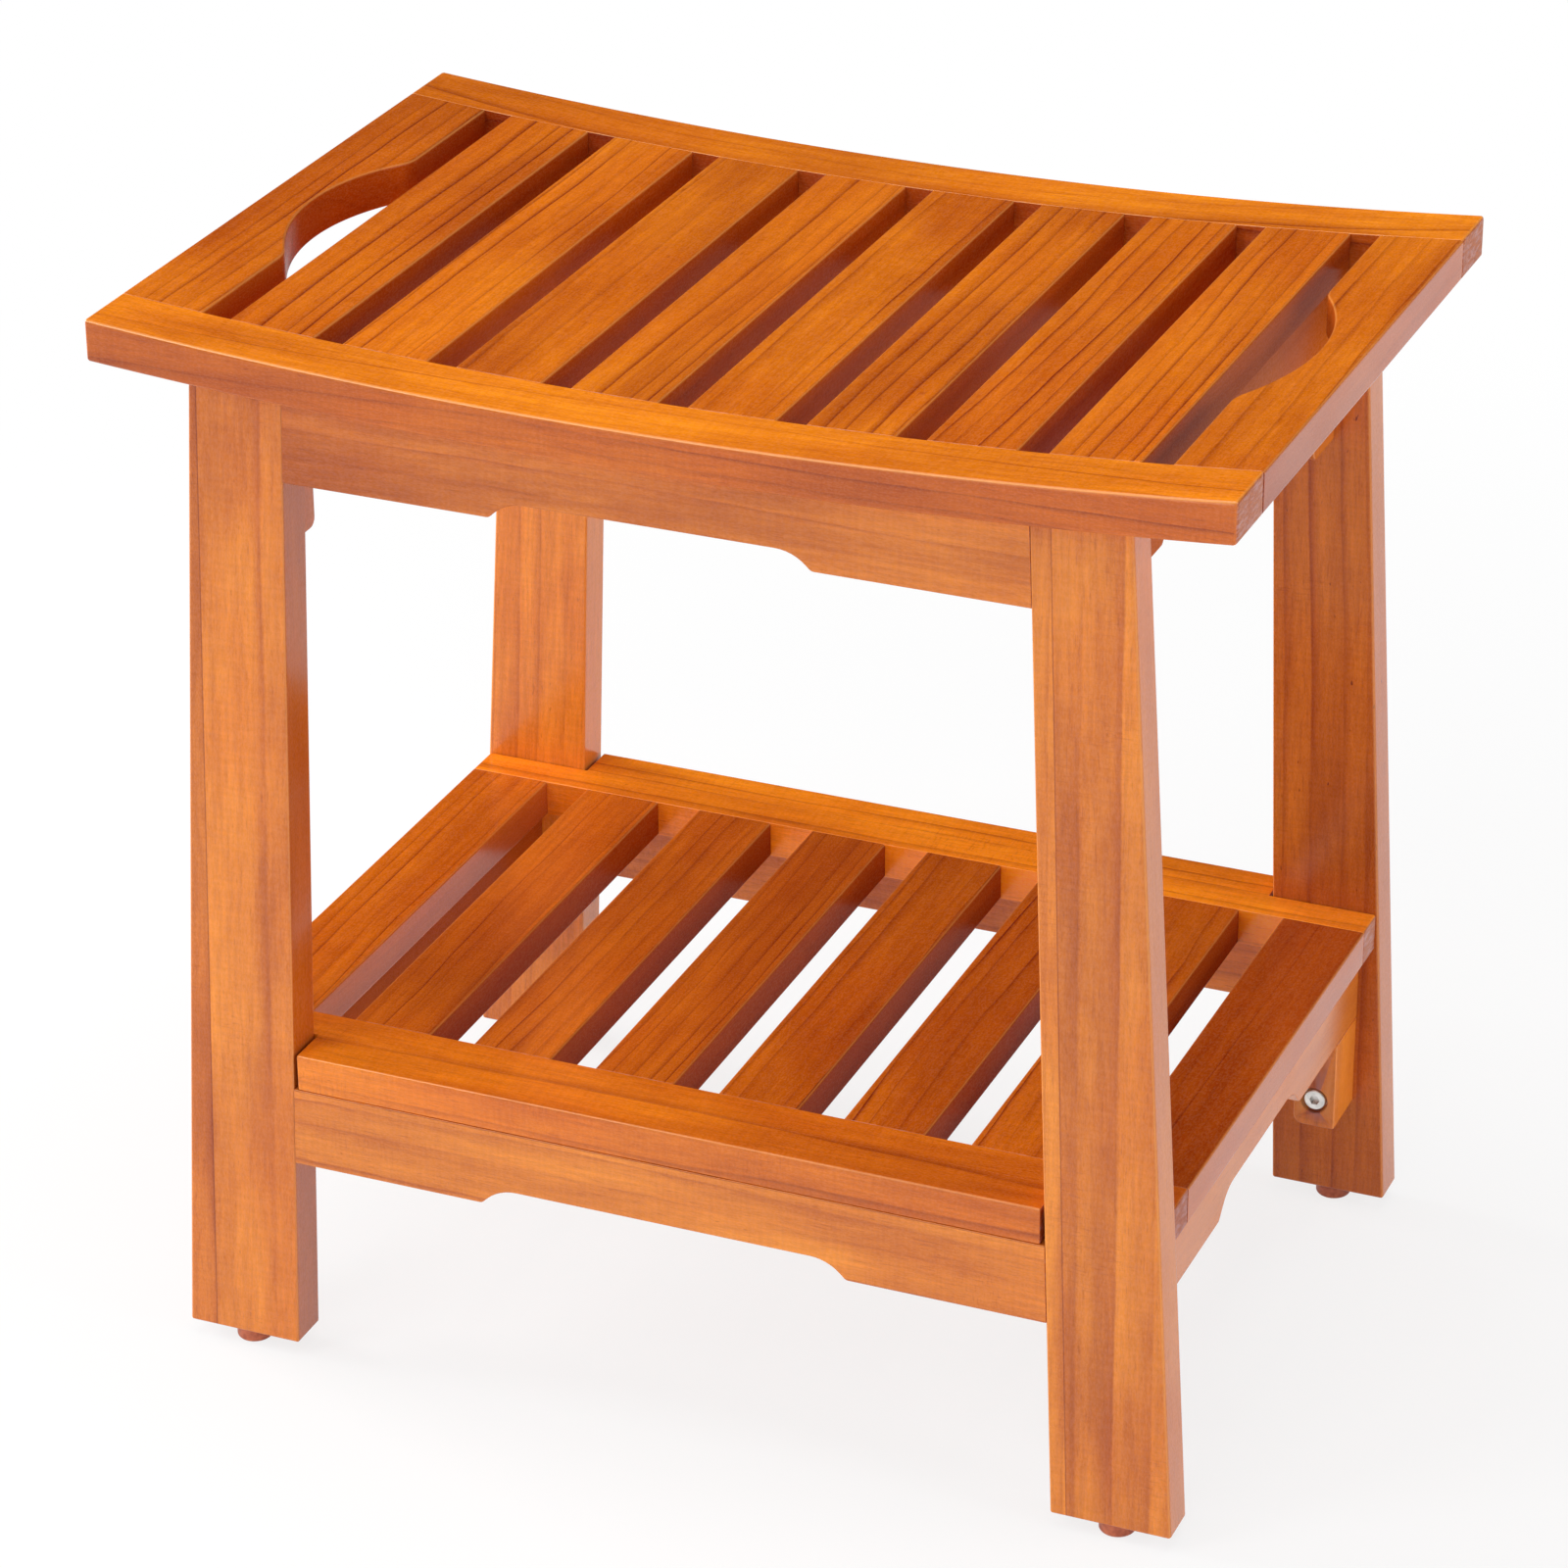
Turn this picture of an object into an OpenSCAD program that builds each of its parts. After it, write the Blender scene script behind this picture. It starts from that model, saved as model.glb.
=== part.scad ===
// Slatted wooden shower bench with a dished seat, splayed legs and a slatted shelf.
// Millimetres. Seen from the front, +X is to the right, +Y to the back and +Z up.
// The origin is on the floor under the middle of the seat.

/* [Seat] */
// Length of the seat from its left end to its right end
seat_w = 459; // [450:1:470]
// Depth of the seat from its front edge to its rear edge
seat_d = 308; // [300:1:330]
// Height of the seat's ends above the floor
seat_h = 450; // [445:1:480]
// How far the middle of the seat lies below its ends
seat_dip = 10.5; // [6:0.5:12]
// Thickness of the seat's boards in the middle of the seat
seat_t = 16; // [15:0.5:18]
// Thickness of the seat's boards at its ends
seat_end_t = 17; // [15:0.5:18]
// Width of the seat's front and rear rails
seat_rail_w = 30; // [28:1:32]
// Width of the board at each end of the seat
seat_end_w = 34.5; // [32:0.5:36]
// Number of slats in the seat
seat_slat_n = 8; // [6:1:8]
// Gap between neighbouring slats of the seat
seat_slat_gap = 11.6; // [8:0.2:13]

/* [Hand holds] */
// Depth of the scallop in each end board's inner edge
hold_depth = 16; // [10:1:18]
// Radius of the scallop
hold_r = 105; // [95:1:115]
// Radius that eases the scallop into the straight edge
hold_ease_r = 16; // [8:1:20]

/* [Legs] */
// Thickness of a leg from front to back
leg_t = 18.5; // [16:0.5:18.5]
// Width of a leg at its foot
leg_foot_w = 50; // [48:1:54]
// Width of a leg under the seat
leg_top_w = 39.4; // [38:0.2:42]
// Distance over the legs' outer edges at the feet
leg_foot_spread = 429.6; // [428:0.2:440]
// Distance over the legs' outer edges under the seat
leg_top_spread = 378.6; // [376:0.2:382]
// Setback of the legs' faces from the seat's front and rear edges
seat_overhang = 5.8; // [4:0.2:8]

/* [Aprons and rails] */
// Height of the front and rear aprons' lower edges, at the legs
apron_z = 393; // [390:0.5:398]
// Rise of the arch in an apron's lower edge
apron_arch = 7; // [6:0.5:8]
// Half length of the apron's arch
apron_arch_x = 66.2; // [50:0.2:80]
// Height of the lower rails' lower edges, at the legs
lower_z = 92.8; // [90:0.2:96]
// Rise of the arch in the front and rear lower rails
lower_arch = 7.6; // [6:0.1:8]
// Half length of the arch in the front and rear lower rails
lower_arch_x = 79.5; // [60:0.5:100]
// Thickness of the upper side rails and their corner blocks
upper_side_t = 16; // [15:0.5:18]
// Thickness of the lower side rails and their corner blocks
lower_side_t = 18; // [16:0.5:20]
// Distance over the upper side rails
upper_side_spread = 357.2; // [356:0.4:360]
// Distance over the lower side rails
lower_side_spread = 398.6; // [396:0.2:400]
// Height of the upper side rails' lower edges, at the legs
upper_side_z = 396; // [394:0.5:398]
// Rise of the arch in an upper side rail
upper_side_arch = 6.5; // [6:0.5:8]
// Half length of the arch in an upper side rail
upper_side_arch_y = 85; // [60:1:90]
// Rise of the arch in a lower side rail
lower_side_arch = 10; // [7:0.2:10]
// Half length of the arch in a lower side rail
lower_side_arch_y = 53; // [40:1:70]
// Radius of the concave curve at each end of an arch
arch_r = 18; // [14:1:20]
// Radius that eases an arch's lower corners
arch_ease_r = 2.5; // [1:0.5:3]

/* [Shelf] */
// Height of the shelf's top face
shelf_z = 143.4; // [140:0.2:148]
// Thickness of the shelf's boards
shelf_t = 16; // [15:0.5:18]
// Length of the shelf, over its end boards
shelf_w = 411.8; // [408:0.2:414]
// Length of the shelf's front and rear edges, between the legs
shelf_tongue_w = 317.2; // [312:0.2:318]
// Distance from the shelf's front edge back to its notches for the legs
shelf_notch_d = 19; // [18.8:0.2:20]
// Width of the shelf's front and rear rails
shelf_rail_w = 35.8; // [34:0.2:38]
// Width of the board at each end of the shelf
shelf_end_w = 35.9; // [34:0.1:38]
// Number of slats in the shelf
shelf_slat_n = 6; // [5:1:6]
// Width of a shelf slat
shelf_slat_w = 34.3; // [32:0.1:38]

/* [Corner blocks and their bolts] */
// Height of a corner block
block_h = 40.5; // [38:0.5:42]
// Length of a corner block from front to back
block_d = 27.3; // [26:0.1:28]
// Radius of a corner block's round lower corner
block_corner_r = 4; // [2:0.5:6]
// Height of the bolt above the corner block's lower face
bolt_up = 12.3; // [10:0.1:14]
// Length of the bolt under its head
bolt_l = 35; // [30:1:36]
// Diameter of the bolt's flat head
bolt_head_d = 9.8; // [9:0.1:10]
// Height of the bolt's flat head
bolt_head_h = 2.75; // [2.5:0.05:3]
// Diameter of the washer under the bolt's head
washer_d = 10; // [9.8:0.1:11]
// Diameter of the counterbore round the bolt's head
bolt_sink_d = 12; // [11.6:0.1:13]
// Depth of the counterbore round the bolt's head
bolt_sink = 4.2; // [4:0.2:6]

/* [Levelling feet] */
// Diameter of a foot's pad
pad_d = 15; // [14:0.5:16]
// Height of the legs' lower ends above the floor, with the feet screwed home
leg_lift = 6.5; // [6.5:0.1:8]
// Travel of a foot out of its leg
foot_travel = 8; // [4:1:8]
// Length of the threaded insert in the leg
foot_insert_l = 13; // [12:1:14]

/* [Hidden] */

// Colours of the seat and shelf, the frame, the dowels, the steel and brass hardware and the feet
top_wood = [0.86, 0.47, 0.17];
frame_wood = [0.76, 0.42, 0.22];
dowel_wood = [0.82, 0.66, 0.42];
steel = [0.78, 0.78, 0.8];
brass = [0.78, 0.62, 0.3];
pad_brown = [0.42, 0.2, 0.14];

// Facets of a small round and of the seat's long arc
$fn = 64;
arc_fn = 1440;

// Play between a pin and its hole, and how far a cutting shape passes a face
play = 0.05;
over = 1;

// How far an easing round laps over the curve that it meets
ease_lap = 0.01;

// The arcs of the seat's top and underside: their radii and the heights of their centres
seat_r = (pow(seat_w / 2, 2) + pow(seat_dip, 2)) / (2 * seat_dip);
seat_cz = seat_h - seat_dip + seat_r;
under_dip = seat_dip + seat_t - seat_end_t;
under_r = (pow(seat_w / 2, 2) + pow(under_dip, 2)) / (2 * under_dip);
under_cz = seat_h - seat_dip - seat_t + under_r;

// Faces of the frame: the legs' outer and inner faces and their middle, from the bench's middle
face_y = seat_d / 2 - seat_overhang;
inner_y = face_y - leg_t;
leg_y = face_y - leg_t / 2;
leg_top_z = seat_h - seat_t;

// Openings between the seat's end boards and between the shelf's end boards
seat_in_x = seat_w / 2 - seat_end_w;
seat_in_y = seat_d / 2 - seat_rail_w;
seat_slat_w = (2 * seat_in_x - (seat_slat_n + 1) * seat_slat_gap) / seat_slat_n;
shelf_in_x = shelf_w / 2 - shelf_end_w;
shelf_in_y = face_y - shelf_rail_w;
shelf_slat_gap = (2 * shelf_in_x - shelf_slat_n * shelf_slat_w) / (shelf_slat_n + 1);

// Inner faces of the side rails, and the thickness of the aprons and lower rails
upper_side_x = upper_side_spread / 2 - upper_side_t;
lower_side_x = lower_side_spread / 2 - lower_side_t;
rail_t = leg_t;
lower_top_z = shelf_z - shelf_t;

// Beech dowels: diameters, lengths and depths into the legs
dowel_d = 8;
dowel_l = 30;
apron_dowel_in = 13;
side_dowel_in = 11;
slat_dowel_d = 6;
slat_dowel_l = 24;
block_dowel_l = 20;

// Screws that hold the seat and the shelf down: thread, point, head, and the wood under the head
screw_d = 4;
screw_l = 25;
screw_point_d = 0.4;
screw_head_d = 8;
screw_head_h = 2.6;
screw_sink_d = 9;
screw_sink = 36;
screw_wood = 12;
screw_x = [-95, 0, 95];
screw_y = 139;

// Hardware in the legs, and the foot's socket and stud
washer_t = 1;
bolt_d = 5;
bolt_clear_d = 5.5;
bolt_head_r = 1;
bolt_key = 4;
bolt_socket = 2;
bolt_insert_d = 8;
bolt_insert_l = 12;
foot_insert_d = 9;
foot_x = (leg_foot_spread - leg_foot_w) / 2;
foot_gap = 0.3;
pad_h = leg_lift - foot_gap;
stud_d = 6;
pad_edge_r = 1.5;
pad_key_d = 5;
pad_floor = 1.5;
socket_h = 3.2;
stud_head_d = 9;
stud_key = 4;
stud_socket = 1.6;
stud_tip = 1;
stud_l = foot_insert_l + foot_travel + stud_tip;
stud_clear_d = 6.8;

SIDES = [["left", -1], ["right", 1]];
ENDS = [["front", -1], ["rear", 1]];
LEVELS = ["upper", "lower"];

// Edges of a leg at height z, and the seat's underside and the middle of its thickness at x
function leg_share(z) = (z - leg_lift) / (leg_top_z - leg_lift);
function leg_outer(z) = (leg_foot_spread + (leg_top_spread - leg_foot_spread) * leg_share(z)) / 2;
function leg_inner(z) = leg_outer(z) - leg_foot_w - (leg_top_w - leg_foot_w) * leg_share(z);
function seat_under_z(x) = under_cz - sqrt(pow(under_r, 2) - x * x);
function seat_mid_z(x) = (seat_cz - sqrt(pow(seat_r, 2) - x * x) + seat_under_z(x)) / 2;
function seat_slat_x(i) = -seat_in_x + i * seat_slat_gap + (i - 0.5) * seat_slat_w;
function shelf_slat_x(i) = -shelf_in_x + i * shelf_slat_gap + (i - 0.5) * shelf_slat_w;
function level_x(level) = level == "upper" ? upper_side_x : lower_side_x;
function level_t(level) = level == "upper" ? upper_side_t : lower_side_t;
function level_mid(level) = level_x(level) + level_t(level) / 2;
function level_z(level) = level == "upper" ? upper_side_z : lower_z;
function side_dowel_z(level) = level_z(level) + 17;
function bolt_z(level) = level_z(level) - block_h + bolt_up;

// A board drawn in the XZ plane, t thick from y towards the back
module front_board(y, t) {
    translate([0, y + t, 0]) rotate([90, 0, 0]) linear_extrude(t) children();
}

// A board drawn in the YZ plane, t thick from x towards the right
module side_board(x, t) {
    translate([x, 0, 0]) rotate([90, 0, 90]) linear_extrude(t) children();
}

// Round bars along X, Y and Z, centred on a point
module bar_x(x, y, z, d, l) {
    translate([x, y, z]) rotate([0, 90, 0]) cylinder(d = d, h = l, center = true);
}
module bar_y(x, y, z, d, l) {
    translate([x, y, z]) rotate([90, 0, 0]) cylinder(d = d, h = l, center = true);
}
module bar_z(x, y, z, d, l) {
    translate([x, y, z]) cylinder(d = d, h = l, center = true);
}

// Shapes drawn for the front right corner, carried to the corner on side sx and end sy
module at_corner(sx, sy) {
    mirror([sx < 0 ? 1 : 0, 0, 0]) mirror([0, sy > 0 ? 1 : 0, 0]) children();
}

// The dished band of the seat in the XZ plane, from x0 to x1
module seat_band(x0, x1) {
    difference() {
        intersection() {
            translate([x0, seat_h - seat_dip - seat_t - over])
                square([x1 - x0, seat_dip + seat_t + 2 * over]);
            translate([0, under_cz]) circle(r = under_r, $fn = arc_fn);
        }
        translate([0, seat_cz]) circle(r = seat_r, $fn = arc_fn);
    }
}

// The round underside of the seat, as a cutting shape for what stands under it
module seat_under_cut() {
    translate([0, 0, under_cz]) rotate([90, 0, 0])
        cylinder(r = under_r, h = seat_d, center = true, $fn = arc_fn);
}

// The wood that an arch takes from a board's lower edge: half length a, foot at z, height rise
module arch_cut(a, z, rise) {
    slant = (rise - (1 - cos(45)) * (arch_ease_r + arch_r));
    ease_end = [a - arch_ease_r * sin(45), z + arch_ease_r * (1 - cos(45))];
    curve_start = ease_end + [-slant, slant];
    flat_x = curve_start[0] - arch_r * sin(45);
    for (side = [0, 1]) mirror([side, 0]) difference() {
        union() {
            polygon([[-over, z - over], [a, z - over], [a, z], ease_end, curve_start,
                [flat_x, z + rise], [-over, z + rise]]);
            translate([flat_x, z + rise - arch_r]) circle(r = arch_r);
        }
        translate([a, z + arch_ease_r]) circle(r = arch_ease_r);
    }
}

// The wood that the hand hold takes from the right end board's inner edge, seen from above
module hold_cut() {
    dip_x = seat_in_x + hold_depth - hold_r;
    ease_x = seat_in_x + hold_ease_r;
    ease_y = sqrt(pow(hold_r + hold_ease_r, 2) - pow(ease_x - dip_x, 2));
    meet = [dip_x, 0] + [ease_x - dip_x, ease_y] * hold_r / (hold_r + hold_ease_r);
    difference() {
        union() {
            translate([dip_x, 0]) circle(r = hold_r, $fn = 4 * $fn);
            polygon([[seat_in_x - over, -ease_y], [seat_in_x, -ease_y], [meet[0], -meet[1]],
                meet, [seat_in_x, ease_y], [seat_in_x - over, ease_y]]);
        }
        for (sy = [-1, 1]) translate([ease_x, sy * ease_y]) circle(r = hold_ease_r + ease_lap);
    }
}

// Pairs of dowels between a board's ends and the rails: drawn thinner as pins, longer as holes
module seat_dowel_pair(x, w, sy, d, l) {
    for (k = [-1, 1])
        bar_y(x + k * w / 4, sy * seat_in_y, seat_mid_z(x + k * w / 4), d, l);
}
module seat_dowel_row(sy, d, l) {
    for (i = [1:seat_slat_n]) seat_dowel_pair(seat_slat_x(i), seat_slat_w, sy, d, l);
    for (sx = [-1, 1]) seat_dowel_pair(sx * (seat_in_x + seat_end_w / 2), seat_end_w, sy, d, l);
}
module shelf_dowel_pair(x, w, sy, d, l) {
    for (k = [-1, 1])
        bar_y(x + k * w / 4, sy * shelf_in_y, shelf_z - shelf_t / 2, d, l);
}
module shelf_dowel_row(sy, d, l) {
    for (i = [1:shelf_slat_n]) shelf_dowel_pair(shelf_slat_x(i), shelf_slat_w, sy, d, l);
    for (sx = [-1, 1]) shelf_dowel_pair(sx * (shelf_in_x + shelf_end_w / 2), shelf_end_w, sy, d, l);
}

// Dowels of the front right corner: apron and lower rail to leg, side rail to leg, block to rail
module rail_dowels(d, l) {
    for (z = [apron_z + 8, apron_z + 24, lower_z + 9, lower_z + 25])
        bar_x(leg_inner(z) + apron_dowel_in - dowel_l / 2, -leg_y, z, d, l);
}
module side_dowel(level, d, l) {
    bar_y(level_mid(level), -inner_y - side_dowel_in + dowel_l / 2, side_dowel_z(level), d, l);
}
module block_dowels(level, d, l) {
    for (k = [0.25, 0.75])
        bar_z(level_mid(level), -inner_y + k * block_d, level_z(level), d, l);
}

// A screw's hole up into the board that lies on a rail at height top, and its sink in that rail
module screw_hole(x, sy, top) {
    bar_z(x, sy * screw_y, top, screw_d + 2 * play, 2 * (screw_l - screw_wood + over));
    translate([x, sy * screw_y, top - screw_wood - screw_sink])
        cylinder(d = screw_sink_d, h = screw_sink);
}

// A pan-head screw with its head under z = 0 and its blunt point upwards
module screw() {
    translate([0, 0, -screw_head_h]) difference() {
        rotate_extrude() union() {
            square([screw_head_d / 2, screw_head_h - 1]);
            square([screw_head_d / 2 - 1, screw_head_h]);
            translate([screw_head_d / 2 - 1, screw_head_h - 1]) circle(r = 1);
            translate([0, screw_head_h - over]) square([screw_d / 2, screw_l + over - screw_d]);
            translate([0, screw_head_h + screw_l - screw_d])
                polygon([[0, -over], [screw_d / 2, -over], [screw_d / 2, 0],
                         [screw_point_d / 2, screw_d], [0, screw_d]]);
        }
        translate([0, 0, -over]) cylinder(d = screw_d * 0.7, h = 1 + over, $fn = 6);
    }
}

module seat_rail(sy) {
    color(top_wood) difference() {
        front_board(sy > 0 ? seat_in_y : -seat_d / 2, seat_rail_w) seat_band(-seat_w / 2, seat_w / 2);
        seat_dowel_row(sy, slat_dowel_d, slat_dowel_l + over);
        for (x = screw_x) screw_hole(x, sy, seat_under_z(x));
    }
}

module seat_end(sx) {
    color(top_wood) mirror([sx < 0 ? 1 : 0, 0, 0]) difference() {
        front_board(-seat_in_y, 2 * seat_in_y) seat_band(seat_in_x, seat_w / 2);
        translate([0, 0, seat_h - seat_dip - seat_t - over])
            linear_extrude(seat_dip + seat_t + 2 * over) hold_cut();
        for (sy = [-1, 1])
            seat_dowel_pair(seat_in_x + seat_end_w / 2, seat_end_w, sy, slat_dowel_d, slat_dowel_l + over);
    }
}

module seat_slat(i) {
    x = seat_slat_x(i);
    color(top_wood) difference() {
        front_board(-seat_in_y, 2 * seat_in_y) seat_band(x - seat_slat_w / 2, x + seat_slat_w / 2);
        for (sy = [-1, 1]) seat_dowel_pair(x, seat_slat_w, sy, slat_dowel_d, slat_dowel_l + over);
    }
}

module leg(sx, sy) {
    color(frame_wood) at_corner(sx, sy) difference() {
        front_board(-face_y, leg_t) difference() {
            polygon([[leg_inner(leg_lift), leg_lift], [leg_outer(leg_lift), leg_lift],
                [leg_outer(seat_h), seat_h], [leg_inner(seat_h), seat_h]]);
            translate([0, under_cz]) circle(r = under_r, $fn = arc_fn);
        }
        rail_dowels(dowel_d, dowel_l + over);
        for (level = LEVELS) {
            side_dowel(level, dowel_d, dowel_l + over);
            bar_y(level_mid(level), -inner_y, bolt_z(level), bolt_insert_d, 2 * (bolt_insert_l + over));
        }
        bar_z(foot_x, -leg_y, leg_lift, foot_insert_d, 2 * foot_insert_l);
        bar_z(foot_x, -leg_y, leg_lift, stud_clear_d, 2 * (stud_l + over));
    }
}

// An apron or a lower rail between the legs of one end: z is its lower edge at the legs
module cross_board(sy, z, top, a, rise) {
    difference() {
        front_board(sy > 0 ? inner_y : -face_y, rail_t) difference() {
            polygon([[-leg_inner(z), z], [leg_inner(z), z], [leg_inner(top), top], [-leg_inner(top), top]]);
            arch_cut(a, z, rise);
        }
        for (sx = [-1, 1]) at_corner(sx, sy) rail_dowels(dowel_d, dowel_l + over);
        children();
    }
}

module apron(sy) {
    color(frame_wood) cross_board(sy, apron_z, seat_h, apron_arch_x, apron_arch) {
        union() {
            seat_under_cut();
            for (x = screw_x) screw_hole(x, sy, seat_under_z(x));
        }
    }
}

module lower_rail(sy) {
    color(frame_wood) cross_board(sy, lower_z, lower_top_z, lower_arch_x, lower_arch)
        union() {
            for (x = screw_x) screw_hole(x, sy, lower_top_z);
        }
}

module side_rail(level, sx) {
    top = level == "upper" ? seat_h : lower_top_z;
    z = level_z(level);
    color(frame_wood) mirror([sx < 0 ? 1 : 0, 0, 0]) difference() {
        side_board(level_x(level), level_t(level)) difference() {
            translate([-inner_y, z]) square([2 * inner_y, top - z]);
            if (level == "upper") arch_cut(upper_side_arch_y, z, upper_side_arch);
            else arch_cut(lower_side_arch_y, z, lower_side_arch);
        }
        seat_under_cut();
        for (sy = [-1, 1]) at_corner(1, sy) {
            side_dowel(level, dowel_d, dowel_l + over);
            block_dowels(level, slat_dowel_d, block_dowel_l + over);
        }
    }
}

// A corner block's outline, w wide, with its lower right corner round
module block_outline(w) {
    translate([0, block_corner_r]) square([w, block_h - block_corner_r]);
    square([w - block_corner_r, block_h]);
    translate([w - block_corner_r, block_corner_r]) circle(r = block_corner_r);
}

// An upper block is round at its free end, a lower block along its side towards the bench's middle
module corner_block(level, sx, sy) {
    x = level_x(level);
    z = level_z(level) - block_h;
    t = level_t(level);
    color(frame_wood) at_corner(sx, sy) difference() {
        if (level == "upper") side_board(x, t) translate([-inner_y, z]) block_outline(block_d);
        else front_board(-inner_y, block_d) translate([x + t, z]) mirror([1, 0]) block_outline(t);
        bar_y(x + t / 2, -inner_y + block_d / 2, bolt_z(level), bolt_clear_d, block_d + 2 * over);
        bar_y(x + t / 2, -inner_y + block_d, bolt_z(level), bolt_sink_d, 2 * bolt_sink);
        block_dowels(level, slat_dowel_d, block_dowel_l + over);
    }
}

module shelf_rail(sy) {
    color(top_wood) mirror([0, sy > 0 ? 1 : 0, 0]) difference() {
        translate([0, 0, lower_top_z]) linear_extrude(shelf_t) union() {
            translate([-shelf_tongue_w / 2, -face_y]) square([shelf_tongue_w, shelf_rail_w]);
            translate([-shelf_w / 2, -face_y + shelf_notch_d])
                square([shelf_w, shelf_rail_w - shelf_notch_d]);
        }
        shelf_dowel_row(-1, slat_dowel_d, slat_dowel_l + over);
        for (x = screw_x) screw_hole(x, -1, lower_top_z);
    }
}

// A board of the shelf between its rails, centred on x
module shelf_board(x, w) {
    color(top_wood) difference() {
        translate([x - w / 2, -shelf_in_y, lower_top_z]) cube([w, 2 * shelf_in_y, shelf_t]);
        for (sy = [-1, 1]) shelf_dowel_pair(x, w, sy, slat_dowel_d, slat_dowel_l + over);
    }
}

module shelf_end(sx) {
    shelf_board(sx * (shelf_in_x + shelf_end_w / 2), shelf_end_w);
}

module shelf_slat(i) {
    shelf_board(shelf_slat_x(i), shelf_slat_w);
}

// The pad is moulded round the stud's head, which turns in it; a key reaches the head from below
module foot_pad(sx, sy) {
    color(pad_brown) at_corner(sx, sy) translate([foot_x, -leg_y, 0]) difference() {
        rotate_extrude() union() {
            square([pad_d / 2 - pad_edge_r, pad_h]);
            translate([0, pad_edge_r]) square([pad_d / 2, pad_h - pad_edge_r]);
            translate([pad_d / 2 - pad_edge_r, pad_edge_r]) circle(r = pad_edge_r);
        }
        translate([0, 0, -over]) cylinder(d = pad_key_d, h = pad_floor + 2 * over);
        translate([0, 0, pad_floor]) cylinder(d = stud_head_d + 2 * play, h = socket_h);
        translate([0, 0, pad_floor]) cylinder(d = stud_d, h = pad_h);
    }
}

module foot_stud(sx, sy) {
    head_z = pad_floor + foot_gap;
    head_h = socket_h - 2 * foot_gap;
    shank = stud_d / 2 - play;
    color(steel) at_corner(sx, sy) translate([foot_x, -leg_y, head_z]) difference() {
        rotate_extrude() union() {
            square([stud_head_d / 2, head_h]);
            polygon([[0, head_h - over], [shank, head_h - over], [shank, head_h + stud_l - stud_tip],
                [shank - stud_tip, head_h + stud_l], [0, head_h + stud_l]]);
        }
        translate([0, 0, -over]) cylinder(d = stud_key / cos(30), h = stud_socket + over, $fn = 6);
    }
}

// Every corner block's bolt place: the head's seat, with the shank towards the leg along -Y
module at_bolts() {
    for (level = LEVELS, sx = [-1, 1], sy = [-1, 1]) at_corner(sx, sy)
        translate([level_mid(level), -inner_y + block_d - bolt_sink, bolt_z(level)])
            rotate([90, 0, 0]) children();
}

module block_bolts() {
    head_z = -washer_t - bolt_head_h;
    flat_r = bolt_head_d / 2 - bolt_head_r;
    color(steel) at_bolts() difference() {
        union() {
            translate([0, 0, head_z]) rotate_extrude() union() {
                square([flat_r, bolt_head_h]);
                translate([0, bolt_head_r]) square([bolt_head_d / 2, bolt_head_h - bolt_head_r]);
                translate([flat_r, bolt_head_r]) circle(r = bolt_head_r);
            }
            translate([0, 0, -washer_t - over]) cylinder(d = bolt_d - 2 * play, h = bolt_l + over);
        }
        translate([0, 0, head_z - over]) cylinder(d = bolt_key / cos(30), h = bolt_socket + over, $fn = 6);
    }
}

module bolt_washers() {
    color(steel) at_bolts() translate([0, 0, -washer_t]) difference() {
        cylinder(d = washer_d, h = washer_t);
        translate([0, 0, -over]) cylinder(d = bolt_clear_d, h = washer_t + 2 * over);
    }
}

module bolt_inserts() {
    color(brass) at_bolts() translate([0, 0, block_d - bolt_sink]) difference() {
        cylinder(d = bolt_insert_d - 2 * play, h = bolt_insert_l);
        translate([0, 0, -over]) cylinder(d = bolt_d, h = bolt_insert_l + 2 * over);
    }
}

module foot_inserts() {
    color(brass) for (sx = [-1, 1], sy = [-1, 1]) at_corner(sx, sy)
        translate([foot_x, -leg_y, leg_lift]) difference() {
            cylinder(d = foot_insert_d - 2 * play, h = foot_insert_l);
            translate([0, 0, -over]) cylinder(d = stud_d, h = foot_insert_l + 2 * over);
        }
}

module seat_screws() {
    color(steel) for (x = screw_x, sy = [-1, 1])
        translate([x, sy * screw_y, seat_under_z(x) - screw_wood]) screw();
}

module shelf_screws() {
    color(steel) for (x = screw_x, sy = [-1, 1])
        translate([x, sy * screw_y, lower_top_z - screw_wood]) screw();
}

module frame_dowels() {
    color(dowel_wood) for (sx = [-1, 1], sy = [-1, 1]) at_corner(sx, sy) {
        rail_dowels(dowel_d - 2 * play, dowel_l);
        for (level = LEVELS) {
            side_dowel(level, dowel_d - 2 * play, dowel_l);
            block_dowels(level, slat_dowel_d - 2 * play, block_dowel_l);
        }
    }
}

module seat_dowels() {
    color(dowel_wood) for (sy = [-1, 1]) seat_dowel_row(sy, slat_dowel_d - 2 * play, slat_dowel_l);
}

module shelf_dowels() {
    color(dowel_wood) for (sy = [-1, 1]) shelf_dowel_row(sy, slat_dowel_d - 2 * play, slat_dowel_l);
}

for (e = ENDS) {
    seat_rail(e[1]);
    apron(e[1]);
    lower_rail(e[1]);
    shelf_rail(e[1]);
}
for (s = SIDES) {
    seat_end(s[1]);
    shelf_end(s[1]);
}
for (i = [1:seat_slat_n])
    seat_slat(i);
for (i = [1:shelf_slat_n])
    shelf_slat(i);
for (v = LEVELS, s = SIDES)
    side_rail(v, s[1]);
for (v = LEVELS, e = ENDS, s = SIDES)
    corner_block(v, s[1], e[1]);
for (e = ENDS, s = SIDES) {
    leg(s[1], e[1]);
    foot_pad(s[1], e[1]);
    foot_stud(s[1], e[1]);
}
block_bolts();
bolt_washers();
bolt_inserts();
foot_inserts();
seat_screws();
shelf_screws();
frame_dowels();
seat_dowels();
shelf_dowels();
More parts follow.
